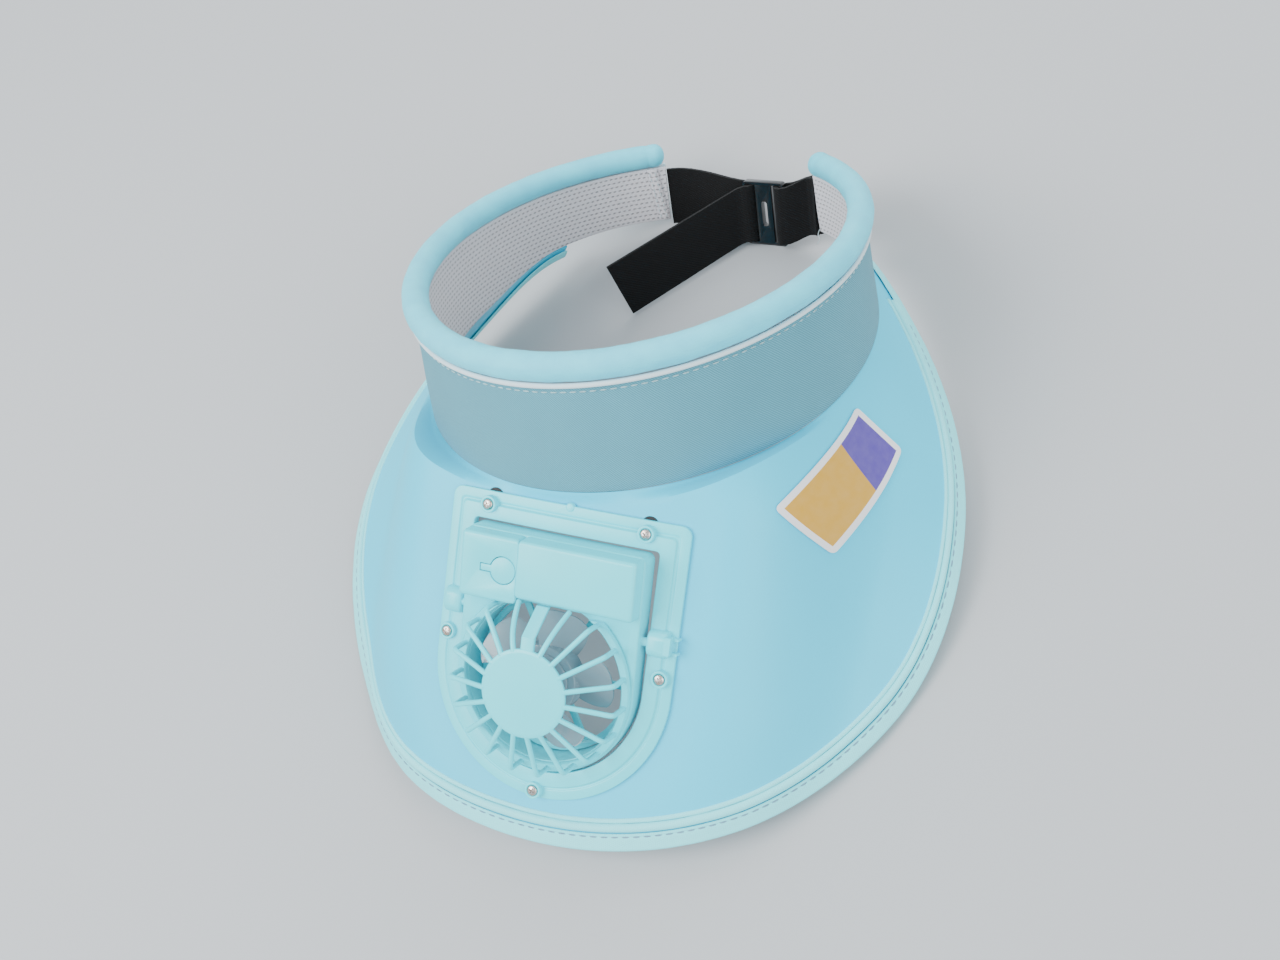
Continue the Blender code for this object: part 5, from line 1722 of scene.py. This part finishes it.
    def grille(self) -> Piece:
        """Domed disc, ribs, wide strut and base ring, as one moulding."""
        disc, front = self.disc, self.disc_front
        corners = [(disc - 0.0004, front - 0.0018), (disc, front - 0.0012), (disc, front - 0.0003),
                   (disc - 0.0011, front), (0.004, front + 0.0001), (0.0004, front + 0.0001)]
        grille = turned("grille", rounded_profile(corners, 0.0003), 96)
        outer, inner = self.rib_reach + 0.0015, self.rib_reach - 0.0015
        base, high = self.deck + 0.0002, self.deck + 0.0018
        section = ((inner, base), (outer, base), (outer, high - 0.0006), (outer - 0.0005, high),
                   (inner + 0.0005, high), (inner, high - 0.0006))
        loops = [level(circle(radius, 112), height) for radius, height in section]
        ring = rings("base_ring", loops, wrap=True)
        notch = rounded_box((-self.bore, self.foot - self.skirt - 0.0003), (self.bore, 2 * self.bore), 0.0004)
        boolean(ring, "DIFFERENCE", [rings("notch", [level(notch, 0), level(notch, front)])])
        outline = rounded_box((-self.strut[0], -self.strut[1]), self.strut, 0.0005, 3)
        strut_loops = []
        for y, z in ((disc - 0.0018, front - 0.0012), (disc + 0.004, front - 0.0016),
                     (self.foot - 0.0003, self.front - 0.0014)):
            strut_loops.append([Vector((x, y, z + lift)) for x, lift in outline])
        boolean(grille, "UNION", [ring, rings("strut", strut_loops), *self.ribs()])
        soften(grille, 0, 2, 40)
        return put(grille, MODULE)

    def blade(self, number: int) -> Piece:
        """One swept blade with a round tip."""
        start = 360 * number / self.blades
        middle = (self.hub_back + self.hub_front) / 2
        piece = start_from(bpy.ops.mesh.primitive_grid_add, f"blade_{number}",
                           x_subdivisions=14, y_subdivisions=20, size=1)
        for vert in piece.data.vertices:
            u, v = vert.co.x + 0.5, vert.co.y
            round_tip = 0.0022 * (2 * abs(v)) ** 3.2
            radius = self.hub - 0.002 + (self.rotor - round_tip - self.hub + 0.002) * u
            turn = math.radians(start + 54 * v * (1 - 0.10 * u) + 8 * u * u)
            height = middle + 0.0080 * v * (1 - 0.15 * u) + 0.0007 * math.cos(math.pi * v) * u
            vert.co = (radius * math.cos(turn), radius * math.sin(turn), height)
        thicken(piece, 0.0009, 0)
        return piece

    def impeller(self) -> Piece:
        """Hub with a fine ring line, blades and shaft."""
        hub, front, back = self.hub, self.hub_front, self.hub_back
        corners = [(0.0010, back - 0.0030), (0.0010, back), (hub, back), (hub, front), (hub * 0.80, front),
                   (hub * 0.79, front - 0.0004), (hub * 0.76, front - 0.0004), (hub * 0.75, front),
                   (0.0004, front)]
        rotor = turned("impeller", rounded_profile(corners, 0.00045), 72)
        boolean(rotor, "UNION", [self.blade(i) for i in range(self.blades)])
        soften(rotor, 0.00015, 2, 45)
        return put(rotor, MODULE)

    def spokes(self) -> Piece:
        """Rear ring, spokes and motor cup, with softened edges."""
        piece = copy_of("motor_mount", "rear_spokes")
        soften(piece, 0.0002, 2, 40)
        return piece

    def build(self) -> None:
        """Make the module's pieces, dress them and put them on their bodies."""
        finished(self.housing(), MINT, Body.MODULE, "module_housing")
        finished(self.grille(), MINT, Body.MODULE, "front_grille")
        finished(self.spokes(), MINT, Body.MODULE, "motor_mount")
        finished(self.power_tongue(), MINT, Body.BUTTON, "power_button")
        finished(self.impeller(), BLADES, Body.ROTOR, "rotor")
        repaint("module_cover", MINT)


@dataclass
class Closure:
    """Strap, buckle and tab at the back of the band."""

    strap_wall: float = 0.0015
    tape_width: float = 0.0245

    def tape(self, node: str, name: str) -> Piece:
        """Softened tape in place of a CAD strap: finer along its run, with round edges."""
        piece = copy_of(node, name)
        activate(piece)
        finer = piece.modifiers.new("finer", "SUBSURF")
        finer.subdivision_type = "SIMPLE"
        finer.levels = finer.render_levels = 2
        edges = piece.modifiers.new("edges", "BEVEL")
        edges.width = self.strap_wall * 0.3
        edges.segments = 2
        edges.limit_method = "ANGLE"
        edges.angle_limit = math.radians(60)
        apply_modifiers(piece)
        for vert in piece.data.vertices:
            lump = noise.noise(vert.co * 900) * 0.00005 + noise.noise(vert.co * 160) * 0.00008
            vert.co += vert.normal * lump
        bpy.ops.object.shade_smooth_by_angle(angle=math.radians(60))
        return piece

    def build(self) -> None:
        """Make the closure's pieces, dress them and put them on the hat."""
        for node, name in (("strap", "strap_tape"), ("buckle_tab", "tab_tape")):
            piece = finished(self.tape(node, name), WEBBING, Body.HAT, node)
        buckle = copy_of("buckle", "buckle_plate")
        soften(buckle, 0.00045, 3, 40)
        finished(buckle, BLACK, Body.HAT, "buckle")


@dataclass(frozen=True)
class Studio:
    """Plain pale floor, soft light and the camera at the photograph's angle."""

    eye: tuple[float, float, float] = (0.1777, -0.4173, 0.1826)
    back: tuple[float, float, float] = (0.357, -0.768, 0.531)
    up: tuple[float, float, float] = (-0.0676, 0.5456, 0.8348)
    lens: float = 36.86

    def camera(self) -> None:
        """Camera at the photograph's place to the hat."""
        turn = HAT.to_3x3()
        back = (turn @ Vector(self.back)).normalized()
        side = (turn @ Vector(self.up)).cross(back).normalized()
        bpy.ops.object.camera_add()
        camera = bpy.context.object
        camera.matrix_world = axes(side, back.cross(side), back, HAT @ Vector(self.eye))
        camera.data.lens = self.lens
        camera.data.sensor_width = 36.0
        camera.data.clip_start = 0.01
        bpy.context.scene.camera = camera

    def floor(self) -> None:
        """Wide pale floor just below the hat."""
        floor = start_from(bpy.ops.mesh.primitive_plane_add, "floor", size=40, location=(0, 0, -0.0002))
        shader = Shader("pale_floor")
        shader.set(Base_Color=paint(178, 181, 184), Roughness=0.8)
        floor.data.materials.append(shader.material)

    def lamp(self, name: str, place: tuple[float, float, float], size: float, power: float) -> None:
        """Square soft light that looks at the hat."""
        bpy.ops.object.light_add(type="AREA", location=place)
        lamp = bpy.context.object
        lamp.name = name
        lamp.data.size = size
        lamp.data.energy = power
        lamp.rotation_euler = (Vector((0, 0, 0.05)) - Vector(place)).to_track_quat("-Z", "Y").to_euler()

    def build(self) -> None:
        """Set up the studio."""
        self.floor()
        self.lamp("key", (-0.75, -0.55, 1.15), 0.9, 26.0)
        self.lamp("fill", (1.10, -0.60, 0.85), 1.1, 14.0)
        self.lamp("rim", (0.10, 1.10, 0.95), 0.9, 12.0)
        world = bpy.data.worlds.new("studio")
        world.use_nodes = True
        backdrop = world.node_tree.nodes["Background"]
        backdrop.inputs["Color"].default_value = (0.82, 0.88, 0.92, 1)
        backdrop.inputs["Strength"].default_value = 1.15
        bpy.context.scene.world = world
        self.camera()


def main() -> None:
    """Build the sub-assemblies in order."""
    logging.basicConfig(level=logging.INFO, format="%(name)s: %(message)s")
    for assembly in (Studio(), Brim(), HeadBand(), Bezel(), FanModule(), Closure()):
        log.info("building %s", type(assembly).__name__)
        assembly.build()


if __name__ == "__main__":
    main()
